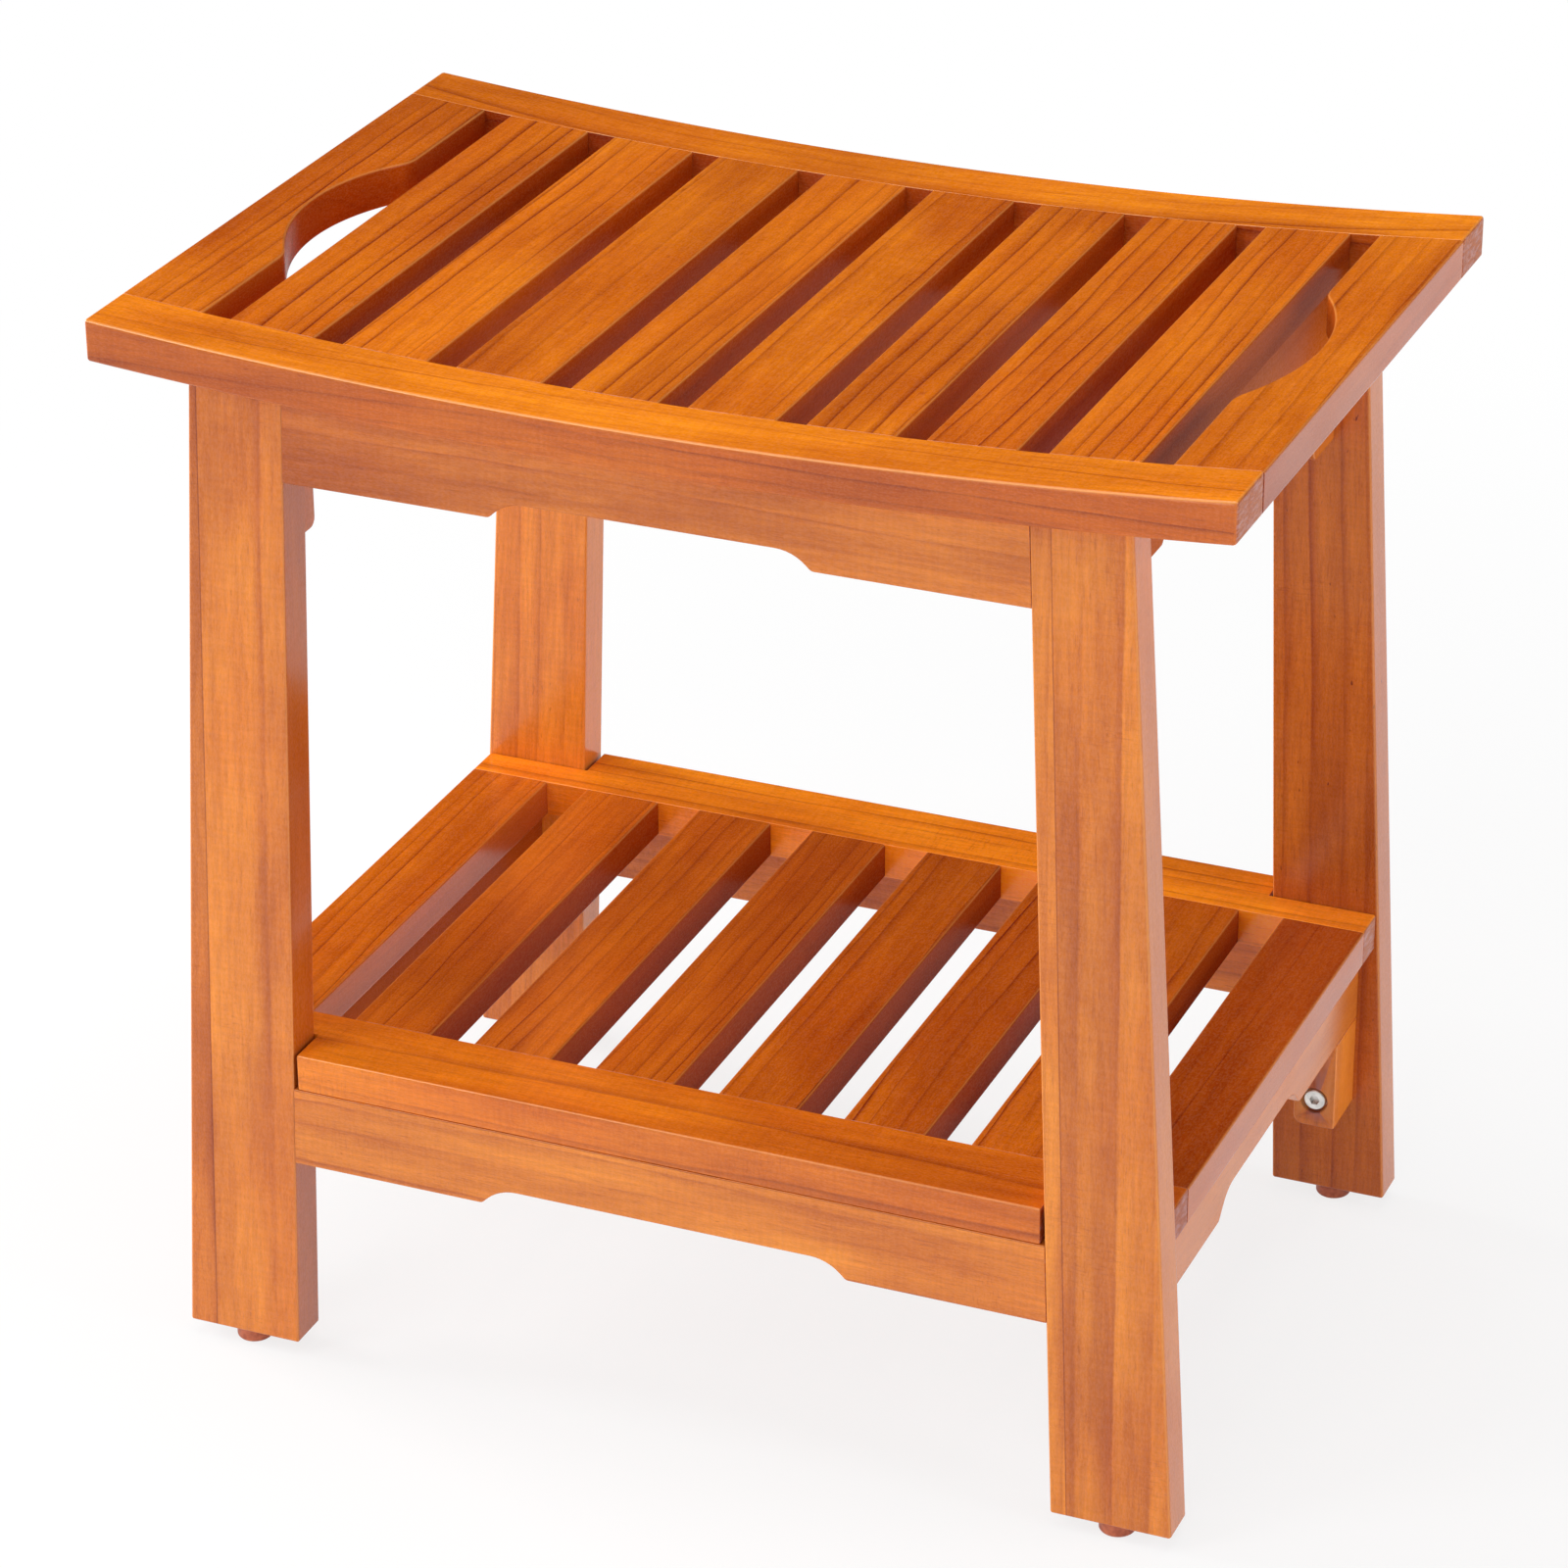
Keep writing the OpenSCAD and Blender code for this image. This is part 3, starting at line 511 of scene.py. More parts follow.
def varnished_wood(name, early, late):
    """Varnished softwood: growth rings, streaks, pores, flecks, darker end grain, glue lines and painted
    light.

    Noise scales are per metre, across the grain twice and then along it.
    """
    t = Tree(name)
    rings = t.split(t.attribute("rings", "Vector"))
    figure = t.split(t.attribute("figure", "Vector"))
    tint = t.split(t.attribute("tint", "Vector"))
    cut = t.split(t.attribute("cut", "Vector"))
    varnish_and_painted_light = t.split(t.attribute("varnish_and_painted_light", "Vector"))
    other = t.math("LESS_THAN", cut[1], 0.0)
    far = t.vmath("MULTIPLY", t.grey(other), STRIP_SHIFT)
    grain = t.vmath("ADD", t.attribute("grain", "Vector"), far)
    part = t.split(grain)

    # Growth rings: distance from the pith, wavering, counted in rings that are unevenly wide
    flat = t.node("ShaderNodeCombineXYZ", {0: part[0], 1: part[1], 2: 0.0})
    radius = t.node("ShaderNodeVectorMath", {0: flat}, out=1, operation="LENGTH")
    drift = t.math("SUBTRACT", t.noise(grain, (7.0, 7.0, 3.0), 1.0), 0.5)
    wander = t.math("SUBTRACT", t.noise(grain, (45.0, 45.0, 13.0), 2.0), 0.5)
    wide = t.math("MULTIPLY_ADD", figure[1], 0.004, 0.0005)
    radius = t.math("MULTIPLY_ADD", drift, wide, radius)
    radius = t.math("MULTIPLY_ADD", wander, 0.0028, radius)
    density = t.math("MULTIPLY_ADD", t.math("MULTIPLY", other, rings[0]), 0.9, rings[0])
    phase = t.math("MULTIPLY_ADD", radius, density, figure[0])
    uneven = t.node("ShaderNodeTexNoise", {"W": t.math("MULTIPLY", phase, 0.37), "Scale": 1.0, "Detail": 1.0},
                    noise_dimensions="1D")
    phase = t.math("MULTIPLY_ADD", t.math("SUBTRACT", uneven, 0.5), figure[1], phase)
    share = t.math("FRACT", phase)
    vary = t.node("ShaderNodeTexWhiteNoise", {"W": t.math("FLOOR", phase)}, noise_dimensions="1D")
    rise = t.ramp(share, t.math("SUBTRACT", LATE_END, rings[1]), LATE_END, smooth=False)
    fall = t.ramp(share, 0.92, 1.0, 1.0, 0.0)
    body = t.math("MULTIPLY", t.math("POWER", rise, 1.4), 0.55)
    core = t.math("MULTIPLY", t.math("POWER", rise, 4.0), t.ramp(rings[1], 0.3, 0.7, 0.5, 0.15))
    band = t.math("MULTIPLY", t.math("ADD", body, core), fall)
    patch = t.noise(grain, (26.0, 26.0, 7.0), 2.0)
    strength = t.math("MULTIPLY", t.ramp(vary, 0.0, 1.0, 0.3, 1.2, smooth=False),
                      t.ramp(patch, 0.32, 0.62, 0.4, 1.0))
    calm = t.math("MULTIPLY_ADD", cut[2], -0.85, 1.0)
    strength = t.math("MULTIPLY", strength, calm)
    band = t.math("MULTIPLY", t.math("MULTIPLY", band, strength), rings[2], clamp=True)

    # Streaks, fibres, speckle, pores, flecks, marks across the grain and redder clouds
    soft = t.noise(grain, (120.0, 120.0, 9.0), 3.0, 0.6)
    fibre = t.noise(grain, (620.0, 620.0, 55.0), 3.0, 0.65)
    speckle = t.noise(grain, (1500.0, 1500.0, 700.0), 2.0, 0.6)
    pore = t.ramp(t.noise(grain, (1300.0, 1300.0, 130.0), 1.0), 0.62, 0.74)
    fleck = t.ramp(t.noise(grain, (520.0, 520.0, 170.0), 1.0), 0.755, 0.80)
    blotch = t.noise(grain, (20.0, 20.0, 10.0), 2.0)
    cloud = t.noise(grain, (22.0, 22.0, 6.0), 2.0)
    ripple = t.noise(grain, (70.0, 70.0, 560.0), 2.0)
    dash = t.math("MULTIPLY", t.ramp(t.noise(grain, (230.0, 230.0, 1500.0), 1.0), 0.56, 0.72),
                  t.ramp(t.noise(grain, (30.0, 30.0, 14.0), 1.0), 0.5, 0.68))
    colour = t.mix(band, early, late)
    redness = t.math("MULTIPLY_ADD", tint[1], 0.5, t.ramp(blotch, 0.38, 0.66, 0.0, 0.5), clamp=True)
    colour = t.mix(redness, colour, t.mix(1.0, colour, RED, "MULTIPLY"))
    value = t.math("MULTIPLY", t.ramp(soft, 0.25, 0.75, 0.89, 1.10), t.ramp(fibre, 0.25, 0.75, 0.90, 1.09))
    value = t.math("MULTIPLY", value, t.ramp(ripple, 0.3, 0.7, 0.965, 1.03))
    value = t.math("MULTIPLY", value, t.ramp(cloud, 0.32, 0.6, 0.80, 1.06))
    value = t.math("MULTIPLY_ADD", t.math("SUBTRACT", value, 1.0),
                   t.math("MULTIPLY_ADD", cut[2], -0.5, 1.0), 1.0)
    value = t.math("MULTIPLY", value, t.math("MULTIPLY_ADD", pore, -0.14, 1.0))
    value = t.math("MULTIPLY", value, t.math("MULTIPLY_ADD", t.math("MULTIPLY", dash, calm), -0.13, 1.0))
    value = t.math("MULTIPLY", value, t.math("MULTIPLY_ADD", t.math("MULTIPLY", fleck, tint[2]), -0.75, 1.0))
    tone = t.math("MULTIPLY_ADD", other, figure[2], tint[0])
    # Painted shade: faces with a dull varnish are darker
    tone = t.math("MULTIPLY_ADD", varnish_and_painted_light[0], -2.2, tone)
    value = t.math("MULTIPLY", value, t.math("MULTIPLY_ADD", tone, 0.16, 1.0))
    # Dark glue lines; along the joint under the shelf this is a painted shadow line
    value = t.math("MULTIPLY", value, t.ramp(t.math("ABSOLUTE", cut[1]), 0.0, GLUE_AND_SHADE_LINE, 0.5, 1.0))
    colour = t.mix(1.0, colour, t.shadow(value), "MULTIPLY")
    colour = t.mix(1.0, colour, t.grey(t.ramp(speckle, 0.3, 0.7, -0.016, 0.016)), "ADD")
    colour = t.mix(1.0, colour, DARKEST, "LIGHTEN")
    # Painted highlight on the rounded edges
    colour = t.mix(varnish_and_painted_light[1], colour, EDGE_HIGHLIGHT)

    # End grain: darker, with chalky streaks where the varnish lies thin
    fibres = t.noise(grain, (1300.0, 1300.0, 30.0), 3.0, 0.7)
    chalk = t.noise(grain, (160.0, 620.0, 20.0), 3.0, 0.65)
    end_colour = t.mix(t.ramp(fibres, 0.3, 0.7), late, t.mix(0.5, early, late))
    end_colour = t.mix(t.ramp(chalk, 0.42, 0.68, 0.0, 0.55), end_colour, CHALK)
    colour = t.mix(t.math("MULTIPLY", cut[0], 0.85), colour, end_colour)

    # Relief, and a varnish that is thinner on end grain and on dull faces
    height = t.math("MULTIPLY_ADD", band, -0.3, t.math("MULTIPLY", fibre, 0.6))
    height = t.math("MULTIPLY_ADD", pore, -0.4, height)
    height = t.math("MULTIPLY_ADD", t.math("MULTIPLY", fibres, cut[0]), 1.5, height)
    rough = t.ramp(t.noise(grain, (45.0, 45.0, 20.0), 3.0), 0.3, 0.7, 0.17, 0.27)
    rough = t.math("MULTIPLY_ADD", cut[0], 0.2, rough)
    shine = t.math("MULTIPLY_ADD", varnish_and_painted_light[0], -0.49, t.math("MULTIPLY_ADD", cut[0], -0.2, 0.5), clamp=True)
    return t.finish({"Base Color": colour, "Roughness": rough, "IOR": VARNISH_IOR,
                     "Specular IOR Level": shine, "Coat IOR": VARNISH_IOR, "Coat Roughness": 0.06,
                     "Coat Weight": t.math("MULTIPLY_ADD", varnish_and_painted_light[0], -0.06, 0.06),
                     "Normal": t.bump(height, 0.2, 0.00012)})


LATE = rgb(134, 38, 8)
# The woods by the name of their slot in the record
woods = {
    "seat_wood": varnished_wood("seat_wood", rgb(229, 125, 26), LATE),
    "shelf_wood": varnished_wood("shelf_wood", rgb(218, 114, 24), LATE),
    "frame_wood": varnished_wood("frame_wood", rgb(232, 136, 48), rgb(158, 48, 30)),
}


def metal(name, colour, rough, scale):
    """Turned or plated metal with fine machining marks and slight stains."""
    t = Tree(name)
    place = t.node("ShaderNodeTexCoord", out=3)
    marks = t.noise(place, (scale, scale, scale), 4.0, 0.65)
    stain = t.noise(place, (260.0, 260.0, 260.0), 2.0)
    shaded = t.mix(1.0, colour, t.grey(t.ramp(stain, 0.35, 0.7, 0.82, 1.06)), "MULTIPLY")
    return t.finish({"Base Color": shaded, "Metallic": 1.0,
                     "Roughness": t.ramp(marks, 0.3, 0.7, rough, rough + 0.16),
                     "Normal": t.bump(marks, 0.12, 0.0001)})


def plastic(name, colour, dark):
    """Moulded plastic with a fine texture and a little mottling."""
    t = Tree(name)
    place = t.node("ShaderNodeTexCoord", out=3)
    mottle = t.noise(place, (420.0, 420.0, 420.0), 3.0)
    skin = t.noise(place, (3200.0, 3200.0, 3200.0), 2.0)
    return t.finish({"Base Color": t.mix(t.ramp(mottle, 0.3, 0.7), colour, dark),
                     "Roughness": t.ramp(mottle, 0.3, 0.7, 0.4, 0.52),
                     "Normal": t.bump(skin, 0.25, 0.0001)})


def plain_beech(name):
    """Unvarnished beech for the dowels."""
    t = Tree(name)
    place = t.node("ShaderNodeTexCoord", out=3)
    fibre = t.noise(place, (700.0, 700.0, 700.0), 3.0, 0.6)
    colour = t.mix(t.ramp(fibre, 0.3, 0.7), rgb(214, 184, 140), rgb(186, 148, 104))
    return t.finish({"Base Color": colour, "Roughness": t.ramp(fibre, 0.3, 0.7, 0.6, 0.72),
                     "Normal": t.bump(fibre, 0.2, 0.0002)})


stainless = metal("stainless", rgb(232, 230, 226), 0.28, 1800.0)
zinc = metal("zinc_plate", rgb(196, 198, 202), 0.30, 1500.0)
turned_brass = metal("turned_brass", rgb(206, 168, 92), 0.26, 1500.0)
foot_plastic = plastic("foot_plastic", rgb(206, 112, 74), rgb(178, 88, 58))
beech = plain_beech("plain_beech")
kept = {"block_bolts": stainless, "bolt_washers": stainless, "bolt_inserts": turned_brass,
        "foot_inserts": turned_brass, "seat_screws": zinc, "shelf_screws": zinc,
        "frame_dowels": beech, "seat_dowels": beech, "shelf_dowels": beech}
for e, _ in ENDS:
    for s_name, _ in SIDES:
        kept[f"{e}_{s_name}_foot_pad"] = foot_plastic
        kept[f"{e}_{s_name}_foot_stud"] = zinc
for node, material in kept.items():
    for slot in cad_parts[node].material_slots:
        slot.material = material


# Seat: rails along the front and rear, a board at each end and slats between them

def even(lo, hi, step):
    """Evenly spaced stations from lo to hi, at most step apart."""
    return list(np.linspace(lo, hi, max(2, int(math.ceil((hi - lo) / step)) + 1)))


def four(front_top, back_top, back_bottom, front_bottom, flip):
    """Corner radii in the ring's order, for a board whose outer face is at low u, or at high u if flipped."""
    if flip:
        return (front_top, back_top, back_bottom, front_bottom)
    return (back_top, front_top, front_bottom, back_bottom)


def mirrored(radii):
    """The same corners with low and high u changed over."""
    return (radii[1], radii[0], radii[3], radii[2])


def along_x(u, v, s):
    """Points of a board that runs along X: u is across, v is up and s is along."""
    return np.stack([np.full_like(u, s), u, v], axis=1)


def along_y(u, v, s):
    """Points of a board that runs along Y: u is across, v is up and s is along."""
    return np.stack([u, np.full_like(u, s), v], axis=1)


# On the rear rail the darker left end is partly painted shade, partly the board's own tone
SEAT_RAIL_LOOKS = {
    "front": Look(step=0.0075, line=0.6, tone=1.2, red=-0.4, fade=1.2,
                  face=(0, -1, 0), face_tone=-2.6, face_red=1.2, edge_highlight=0.6),
    "rear": Look(step=0.0075, line=0.6, tone=0.1, red=-0.4, fade=3.2,
                 face=(0, -1, 0), face_tone=-2.9, face_red=1.2, edge_highlight=0.6),
}
for e, sy in ENDS:
    lo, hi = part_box(f"seat_{e}_rail")

    def rail_section(s, lo=lo, hi=hi, sy=sy):
        """The rail's section at s: its outer corners at both ends are rounder than those at the joints."""
        past = max(abs(s) - (hi.x - SOFT_EDGE), 0.0)
        turn = SOFT_EDGE - math.sqrt(max(SOFT_EDGE ** 2 - past ** 2, 0.0))
        return (lo.y + turn, hi.y, -SEAT_T, 0.0) if sy < 0 else (lo.y, hi.y - turn, -SEAT_T, 0.0)

    board(f"seat_{e}_rail", 0, even(lo.x, hi.x, SEAT_RAIL_STEP), rail_section,
          lambda u, v, s: along_x(u, seat_z(s, v), s),
          four(SOFT_EDGE, JOINT_EDGE, EDGE, SOFT_EDGE, sy > 0), (SOFT_EDGE, SOFT_EDGE),
          "seat_wood", SEAT_RAIL_LOOKS[e])

ease_x = SEAT_IN_X + HOLD_EASE_R
dip_x = SEAT_IN_X + HOLD_DEPTH - HOLD_R
ease_y = math.sqrt((HOLD_R + HOLD_EASE_R) ** 2 - (ease_x - dip_x) ** 2)
meet_y = ease_y * HOLD_R / (HOLD_R + HOLD_EASE_R)


def hold_edge(y):
    """The end board's inner edge at y, with its scallop."""
    y = abs(y)
    if y < meet_y:
        return dip_x + math.sqrt(HOLD_R ** 2 - y * y)
    if y < ease_y:
        return ease_x - math.sqrt(HOLD_EASE_R ** 2 - (y - ease_y) ** 2)
    return SEAT_IN_X


for s_name, sx in SIDES:
    lo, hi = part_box(f"seat_{s_name}_end")
    stations = even(lo.y, hi.y, SEAT_END_STEP) + even(-ease_y, ease_y, HOLD_STEP) + [-meet_y, meet_y]
    # The left end's darker rear is partly painted shadow, partly its own tone; dull faces get painted shade
    board(f"seat_{s_name}_end", 1, sorted(stations),
          lambda s: (hold_edge(s), HALF_W, -SEAT_T, 0.0),
          lambda u, v, s, sx=sx: along_y(sx * u, seat_z(u, v), s),
          (SOFT_EDGE, EDGE, EDGE, SOFT_EDGE), (END_EDGE, END_EDGE), "seat_wood",
          Look(step=0.0085, line=0.8, tone=-0.8 if sx < 0 else -1.1, fade=1.3 * sx, dull_shade=(-sx, 0.4, 0),
               face=(sx, 0, 0), face_tone=-0.2, face_red=1.3, face_dull_shade=0.25))

# Each slat's ring distance, tone and redness, from the left
SLAT_LOOKS = ((0.0078, -0.9, 0.45), (0.0068, -0.1, 0.0), (0.0110, -0.9, 0.0), (0.0085, -0.9, 0.0),
              (0.0074, -0.9, 0.0), (0.0100, -0.9, 0.0), (0.0080, -0.9, 0.45), (0.0092, -0.9, 0.45))
# The slats' faces to the right, the walls of the gaps, get a duller varnish and painted shade
for i, (step, tone, red) in enumerate(SLAT_LOOKS, start=1):
    lo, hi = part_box(f"seat_slat_{i}")
    board(f"seat_slat_{i}", 1, even(lo.y, hi.y, SLAT_STEP),
          lambda s, lo=lo, hi=hi: (lo.x, hi.x, -SEAT_T, 0.0),
          lambda u, v, s: along_y(u, seat_z(u, v), s),
          (EDGE,) * 4, (END_EDGE, END_EDGE), "seat_wood",
          Look(step=step, line=0.85, tone=tone, red=red, dull_shade=(1, 0, 0)))


# Frame: four splayed legs, aprons and lower rails between them, side rails and corner blocks

# The rear right leg's front face is darker and its varnish duller
LEG_LOOKS = {
    ("front", "left"): Look(step=0.0190, soft=0.3, line=0.6, tone=-0.4, slope=0.04, strip_tone=-0.9,
                            face=(1, 0, 0), face_tone=-1.2, face_red=0.5),
    ("front", "right"): Look(step=0.0158, soft=0.75, line=0.7, tone=-0.1, rift=0.15, reach=0.1, side=-1,
                             shift=0.33, uneven=0.1, slope=-0.01, strip_tone=0.3,
                             face=(1, 0, 0), face_tone=-0.4, face_red=0.6),
    ("rear", "left"): Look(step=0.0120, soft=0.4, line=0.45, tone=0.5, slope=0.05),
    ("rear", "right"): Look(step=0.0150, soft=0.4, line=0.75, tone=0.0, red=0.6, flecks=0.9, side=1, rift=0.3,
                            slope=-0.03, face=(1, 0, 0), face_tone=-1.3, face_red=0.4, dull_shade=(0, -0.45, 0)),
}
# Legs glued up of two: the edge that the strip is at, its width at the floor, and how that changes by the top
LEG_GLUE = {("front", "left"): ("outer", 0.0125, -0.0090), ("front", "right"): ("inner", 0.0068, 0.0012)}
for e, _ in ENDS:
    for s_name, sx in SIDES:
        node = f"{e}_{s_name}_leg"
        lo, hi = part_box(node)

        def leg_place(u, v, s, sx=sx, lo=lo):
            """Points of the leg, stretched so that its top follows the seat's underside."""
            z = lo.z + (s - lo.z) * (seat_under(u) - lo.z) / (LEG_TOP_Z - lo.z)
            return np.stack([sx * u, v, z], axis=1)

        def leg_strip(points, sx=sx, glue=LEG_GLUE.get((e, s_name))):
            """Distance of points of the leg from its glue line, below 0 in the narrow strip."""
            edge, width, change = glue
            x, height = sx * points[:, 0], points[:, 2] / LEG_TOP_Z
            across = x - leg_inner(points[:, 2]) if edge == "inner" else leg_outer(points[:, 2]) - x
            return across - width - change * height

        look = LEG_LOOKS[e, s_name]
        look.strip = leg_strip if (e, s_name) in LEG_GLUE else None
        board(node, 2, even(lo.z, LEG_TOP_Z, LEG_STEP),
              lambda s, lo=lo, hi=hi: (leg_inner(s), leg_outer(s), lo.y, hi.y),
              leg_place, (LEG_EDGE, RAIL_EDGE, RAIL_EDGE, LEG_EDGE), (FOOT_EDGE, END_EDGE),
              "frame_wood", look)

for under_seat in (True, False):
    for e, sy in ENDS:
        node = f"{e}_apron" if under_seat else f"lower_{e}_rail"
        lo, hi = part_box(node)
        half, rise = APRON_ARCH if under_seat else LOWER_ARCH
        line = arch_line(half, lo.z, rise)
        under = arch_height(line)
        top_z = LEG_TOP_Z if under_seat else hi.z
        end = leg_inner(lo.z)

        def cross_place(u, v, s, lo=lo, end=end, under_seat=under_seat, top_z=top_z):
            """Points of a board between the splayed legs, which may follow the seat's underside."""
            x = s * leg_inner(v) / end
            return np.stack([x, u, dished(v, x, lo.z, top_z) if under_seat else v], axis=1)

        holes = []
        for x in SCREW_X:
            sink_top = (float(seat_under(x)) if under_seat else hi.z) - SCREW_WOOD
            middle = (x, sy * SCREW_Y, (sink_top + lo.z - SINK_PAST) / 2)
            holes.append((2, middle, SCREW_SINK_D, sink_top - lo.z + SINK_PAST))
        if under_seat:
            look = Look(step=0.0095, soft=0.25, line=0.45, red=0.35, tone=-1.1, fade=1.5)
        else:
            # Lower rails: a painted shadow line along their joint with the shelf
            look = Look(step=0.0095, soft=0.25, line=0.45, tone=0.1, fade=1.5,
                        strip=lambda points, hi=hi: hi.z - SHELF_SHADE_LINE - points[:, 2])
        board(node, 0, arch_stations(line, end),
              lambda s, lo=lo, hi=hi, under=under, top_z=top_z: (lo.y, hi.y, under(s), top_z),
              cross_place, four(JOINT_EDGE, JOINT_EDGE, RAIL_EDGE, RAIL_EDGE, sy > 0),
              (JOINT_EDGE, JOINT_EDGE), "frame_wood", look, holes)

for under_seat in (True, False):
    for s_name, sx in SIDES:
        node = f"upper_{s_name}_side_rail" if under_seat else f"lower_{s_name}_side_rail"
        lo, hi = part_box(node)
        half, rise = UPPER_SIDE_ARCH if under_seat else LOWER_SIDE_ARCH
        line = arch_line(half, lo.z, rise)
        under = arch_height(line)
        top_z = LEG_TOP_Z if under_seat else hi.z

        def side_place(u, v, s, lo=lo, under_seat=under_seat, top_z=top_z):
            """Points of a side rail, which may follow the seat's underside."""
            return along_y(u, dished(v, u, lo.z, top_z) if under_seat else v, s)

        # The side rails' faces to the right get a duller varnish and painted shade, the lower right one's
        # less
        board(node, 1, arch_stations(line, hi.y),
              lambda s, lo=lo, hi=hi, under=under, top_z=top_z: (lo.x, hi.x, under(s), top_z),
              side_place, (JOINT_EDGE, JOINT_EDGE, RAIL_EDGE, RAIL_EDGE), (END_EDGE, END_EDGE), "frame_wood",
              Look(line=0.4, red=0.3, dull_shade=(1, 0, 0) if sx < 0 or under_seat else (0.27, 0, 0),
                   face=(1, 0, 0), face_red=0.5))

for level in ("upper", "lower"):
    for e, sy in ENDS:
        for s_name, sx in SIDES:
            node = f"{level}_{e}_{s_name}_block"
            lo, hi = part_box(node)
            free_y = lo.y if sy > 0 else hi.y
            sink = (1, ((lo.x + hi.x) / 2, free_y, lo.z + BOLT_UP), BOLT_SINK_D, 2 * BOLT_SINK)
            if level == "upper":
                free_low = (JOINT_EDGE, JOINT_EDGE, BLOCK_EDGE, BLOCK_CORNER_R)
                board(node, 2, even(lo.x, hi.x, BLOCK_STEP),
                      lambda s, lo=lo, hi=hi: (lo.y, hi.y, lo.z, hi.z), along_x,
                      free_low if sy < 0 else mirrored(free_low), (BLOCK_END_EDGE, BLOCK_END_EDGE),
                      "frame_wood", Look(line=0.3, tone=-0.3, face=(1, 0, 0), face_red=0.8), [sink])
            else:
                inner_low = (JOINT_EDGE, JOINT_EDGE, BLOCK_CORNER_R, BLOCK_EDGE)
                board(node, 2, even(lo.y, hi.y, BLOCK_STEP),
                      lambda s, lo=lo, hi=hi: (lo.x, hi.x, lo.z, hi.z), along_y,
                      inner_low if sx > 0 else mirrored(inner_low), (BLOCK_END_EDGE, BLOCK_END_EDGE),
                      "frame_wood", Look(line=0.3, tone=1.7, red=0.2, face=(1, 0, 0), face_tone=0.2,
                                         face_red=0.3), [sink])


# Shelf: notched rails round the legs, a board at each end and slats between them

SHELF_RAIL_LOOKS = {"front": Look(step=0.009, line=0.55, tone=1.1, fade=-1.6),
                    "rear": Look(step=0.009, line=0.55, tone=3.8)}
for e, sy in ENDS:
    node = f"shelf_{e}_rail"
    lo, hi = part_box(node)
    outer, inner = (lo.y, hi.y) if sy < 0 else (hi.y, lo.y)
    notch = outer - sy * SHELF_NOTCH_D
    # Two lofts in one mesh, sharp where they meet: the tongue between the legs and the wide part behind it
    tongue = (even(-SHELF_TONGUE, SHELF_TONGUE, SHELF_RAIL_STEP), sorted((outer, notch)),
              four(EDGE, 0.0, 0.0, EDGE, sy > 0), TONGUE_EDGE)
    wide = (even(lo.x, hi.x, SHELF_RAIL_STEP), sorted((notch, inner)),
            four(0.0, JOINT_EDGE, JOINT_EDGE, 0.0, sy > 0), EDGE)
    verts, faces = np.zeros((0, 3)), []
    for stations, (y_low, y_high), radii, rim in (tongue, wide):
        part_verts, part_faces = loft(
            stations, lambda s, y_low=y_low, y_high=y_high, lo=lo, hi=hi: (y_low, y_high, lo.z, hi.z),
            along_x, radii, (rim, rim))
        faces += [tuple(i + len(verts) for i in f) for f in outward(part_verts, part_faces)]
        verts = np.concatenate([verts, part_verts])
    dress(make_mesh(node, verts, faces), node, 0, "shelf_wood", SHELF_RAIL_LOOKS[e])

# Dull faces get a duller varnish and painted shade; the right end's darker top is partly painted shadow
SHELF_LOOKS = {
    "shelf_left_end": Look(step=0.0075, line=0.9, tone=-0.2, dull_shade=(0.45, 0, 0)),
    "shelf_right_end": Look(step=0.0075, line=0.9, tone=-1.9, red=0.3, dull_shade=(0, 0, 0.4),
                            face=(1, 0, 0), face_tone=1.2, face_red=0.6),
}
for i in range(1, 7):
    step = 0.0062 if i <= 3 else 0.0071
    SHELF_LOOKS[f"shelf_slat_{i}"] = Look(step=step, line=0.9, tone=-0.9, dull_shade=(1, 0, 0))
for node, look in SHELF_LOOKS.items():
    lo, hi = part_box(node)
    board(node, 1, even(lo.y, hi.y, SLAT_STEP),
          lambda s, lo=lo, hi=hi: (lo.x, hi.x, lo.z, hi.z), along_y,
          (EDGE,) * 4, (END_EDGE, END_EDGE), "shelf_wood", look)


# Floor, light and camera

def floor():
    """A white floor: to the camera and in reflections it is near white and keeps the bench's shadow."""
    half = 7.0
    corners = [(-half, -half, 0), (half, -half, 0), (half, half, 0), (-half, half, 0)]
    mesh = bpy.data.meshes.new("floor")
    mesh.from_pydata(corners, [], [(0, 1, 2, 3)])
    t = Tree("floor_white")
    place = t.node("ShaderNodeTexCoord", out=3)
    tone = t.ramp(t.noise(place, (3.0, 3.0, 3.0), 2.0), 0.3, 0.7, 0.84, 0.86)
    paint = t.node("ShaderNodeBsdfDiffuse", {0: t.grey(tone)})
    glow = t.node("ShaderNodeEmission", {0: (1.0, 1.0, 1.0, 1.0), 1: 1.0})
    rays = t.tree.nodes.new("ShaderNodeLightPath")
    seen = t.math("MAXIMUM", rays.outputs["Is Camera Ray"], rays.outputs["Is Glossy Ray"])
    seen = t.math("MAXIMUM", seen, rays.outputs["Is Transmission Ray"])
    away = t.node("ShaderNodeVectorMath", {0: place}, out=1, operation="LENGTH")
    share = t.math("MULTIPLY", seen, t.ramp(away, 0.3, 1.2, 0.8, 1.0))
    both = t.node("ShaderNodeMixShader", {0: share, 1: paint, 2: glow})
    t.tree.links.new(both, t.tree.nodes.new("ShaderNodeOutputMaterial").inputs["Surface"])
    mesh.materials.append(t.material)
    piece = bpy.data.objects.new("floor", mesh)
    bpy.context.scene.collection.objects.link(piece)


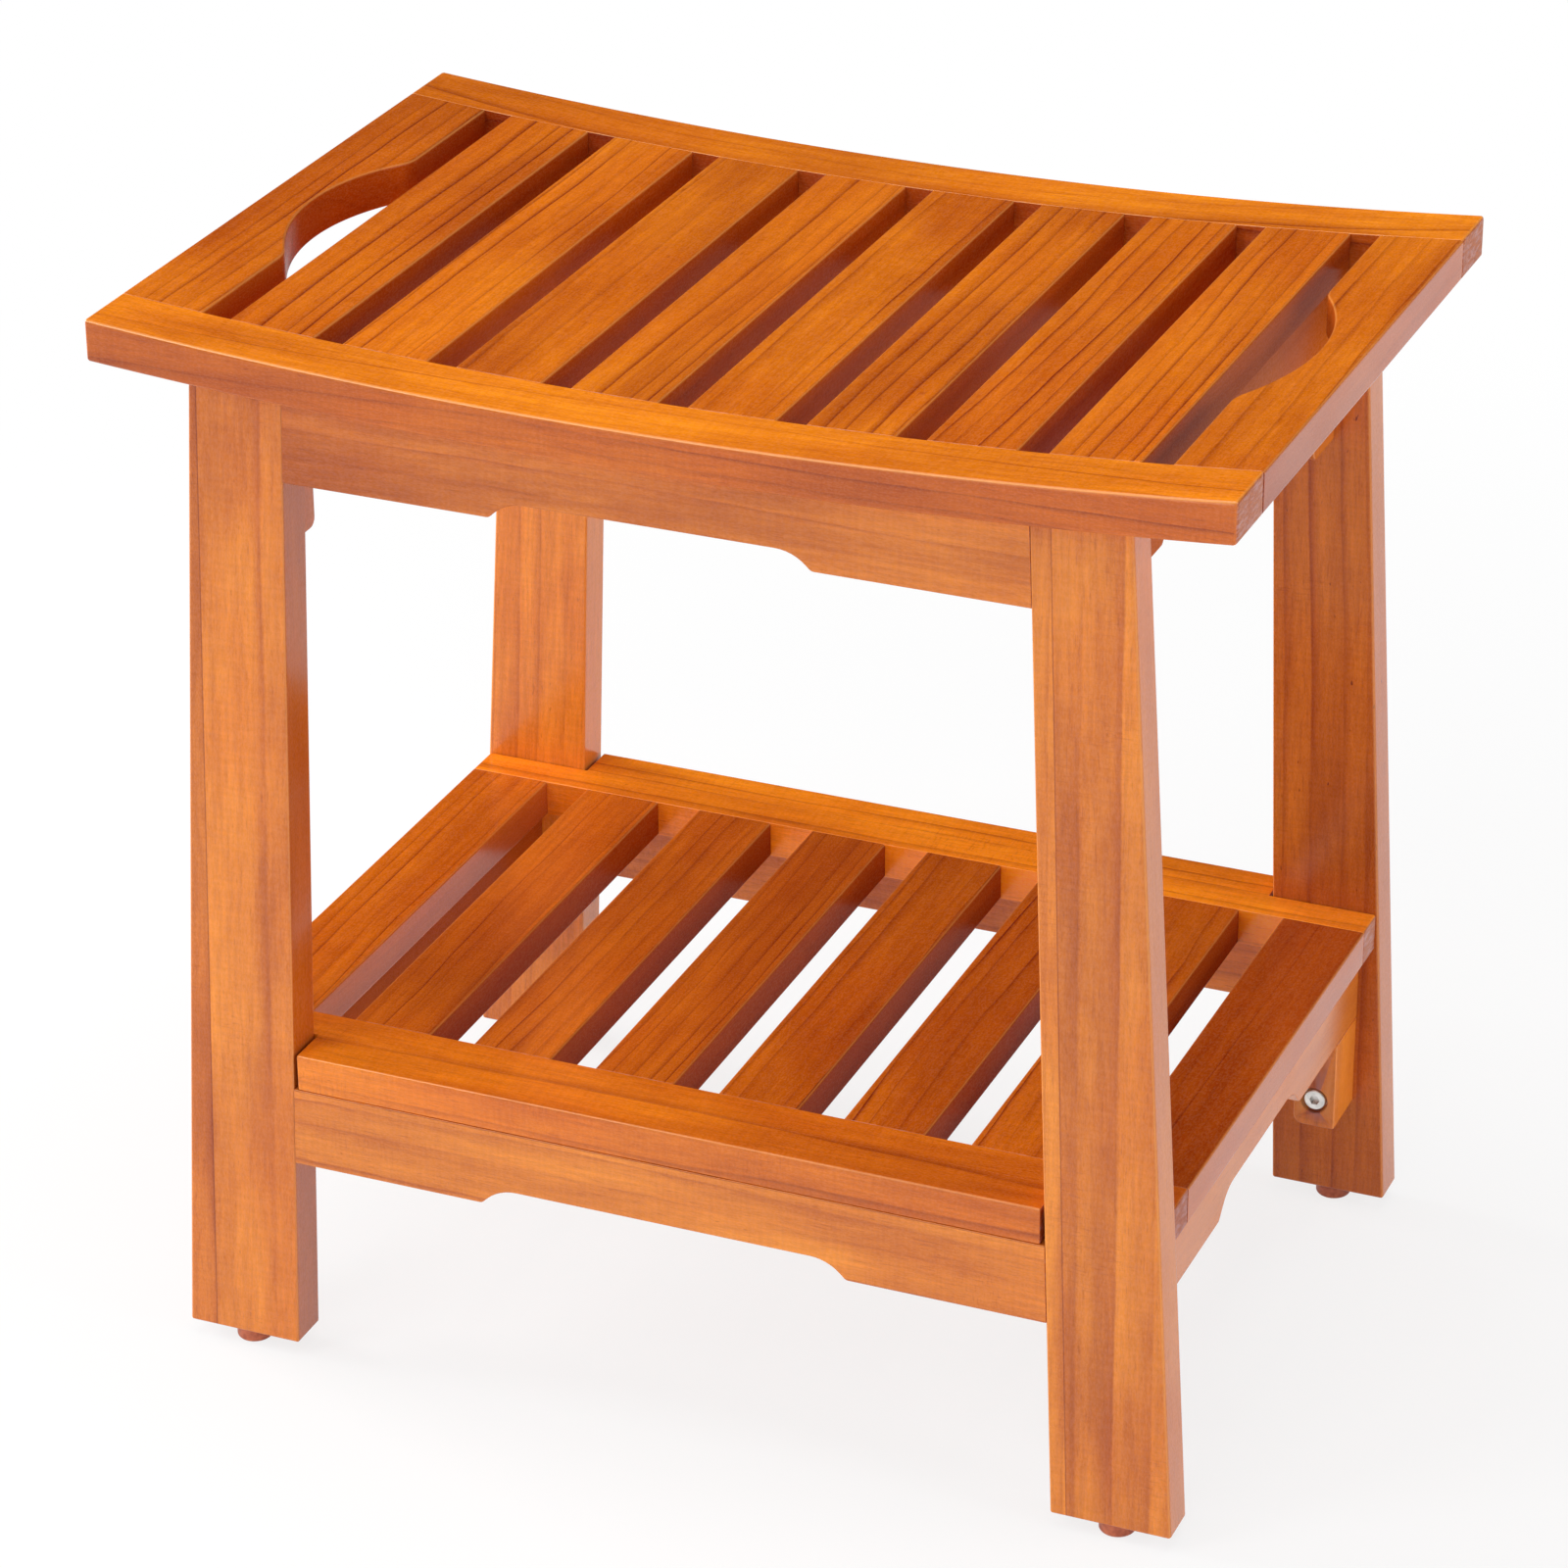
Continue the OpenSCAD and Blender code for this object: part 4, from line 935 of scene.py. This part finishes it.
def aimed(position, target):
    """Matrix of a lamp at position whose light falls towards target."""
    back = np.array(position) - np.array(target)
    back /= np.linalg.norm(back)
    right = np.cross((0, 1, 0) if abs(back[2]) > 0.99 else (0, 0, 1), back)
    right /= np.linalg.norm(right)
    up = np.cross(back, right)
    return Matrix([[right[i], up[i], back[i], position[i]] for i in range(3)] + [[0, 0, 0, 1]])


def softbox(name, position, size, power):
    """A square lamp that gives a soft light."""
    light = bpy.data.lights.new(name, "AREA")
    light.size = size
    light.energy = power
    lamp = bpy.data.objects.new(name, light)
    lamp.matrix_world = aimed(position, LAMP_TARGET)
    bpy.context.scene.collection.objects.link(lamp)


# Name, place, width in metres and power in watts of each lamp, which all point at the bench's middle
LAMPS = (
    ("overhead", (0.0, 0.0, 2.6), 1.8, 31.0),
    ("left", (-2.3, 0.0, 1.0), 1.4, 58.0),
    ("front_left", (-1.2, -1.5, 2.0), 0.8, 16.0),
    ("front", (0.0, -2.4, 1.0), 1.4, 19.0),
    ("right", (2.3, 0.0, 1.0), 1.4, 24.0),
)
LAMP_TARGET = (0.0, 0.0, 0.25)
# The world's light on the bench, and in its reflections
WORLD_LIGHT = 0.08
WORLD_GLOSS = 0.02

floor()
for lamp in LAMPS:
    softbox(*lamp)

world = bpy.data.worlds.new("studio")
world.use_nodes = True
wt = world.node_tree
wt.nodes.clear()
path = wt.nodes.new("ShaderNodeLightPath")
shades = []
for strength in (WORLD_LIGHT, WORLD_GLOSS, 1.0):
    background = wt.nodes.new("ShaderNodeBackground")
    background.inputs[0].default_value = (1.0, 1.0, 1.0, 1.0)
    background.inputs[1].default_value = strength
    shades.append(background)
glossy = wt.nodes.new("ShaderNodeMixShader")
wt.links.new(path.outputs["Is Glossy Ray"], glossy.inputs[0])
wt.links.new(shades[0].outputs[0], glossy.inputs[1])
wt.links.new(shades[1].outputs[0], glossy.inputs[2])
seen = wt.nodes.new("ShaderNodeMixShader")
wt.links.new(path.outputs["Is Camera Ray"], seen.inputs[0])
wt.links.new(glossy.outputs[0], seen.inputs[1])
wt.links.new(shades[2].outputs[0], seen.inputs[2])
world_out = wt.nodes.new("ShaderNodeOutputWorld")
wt.links.new(seen.outputs[0], world_out.inputs[0])
bpy.context.scene.world = world
bpy.context.scene.view_settings.view_transform = "Standard"

# The photograph's camera, fitted to the bench: turn, tilt and roll in degrees, place in metres
YAW, PITCH, ROLL = math.radians(-21.678), math.radians(-27.097), math.radians(0.185)
CAMERA_AT = (0.76074, -1.81168, 1.20507)
# Focal length, optical centre and width of the picture, in pixels, and the sensor's width in millimetres
FOCAL_PX, CENTRE_X, CENTRE_Y, IMAGE, SENSOR = 5519.63, 915.32, 858.88, 1600, 36.0

ahead = np.array((math.sin(YAW) * math.cos(PITCH), math.cos(YAW) * math.cos(PITCH), math.sin(PITCH)))
right = np.array((math.cos(YAW), -math.sin(YAW), 0.0))
up = np.cross(right, ahead)
right, up = right * math.cos(ROLL) + up * math.sin(ROLL), up * math.cos(ROLL) - right * math.sin(ROLL)
camera_data = bpy.data.cameras.new("camera")
camera_data.sensor_width = SENSOR
camera_data.lens = FOCAL_PX * camera_data.sensor_width / IMAGE
camera_data.shift_x = -(CENTRE_X - IMAGE / 2) / IMAGE
camera_data.shift_y = (CENTRE_Y - IMAGE / 2) / IMAGE
camera_data.clip_end = 50.0
camera = bpy.data.objects.new("camera", camera_data)
camera.matrix_world = Matrix([[right[i], up[i], -ahead[i], CAMERA_AT[i]] for i in range(3)] + [[0, 0, 0, 1]])
bpy.context.scene.collection.objects.link(camera)
bpy.context.scene.camera = camera
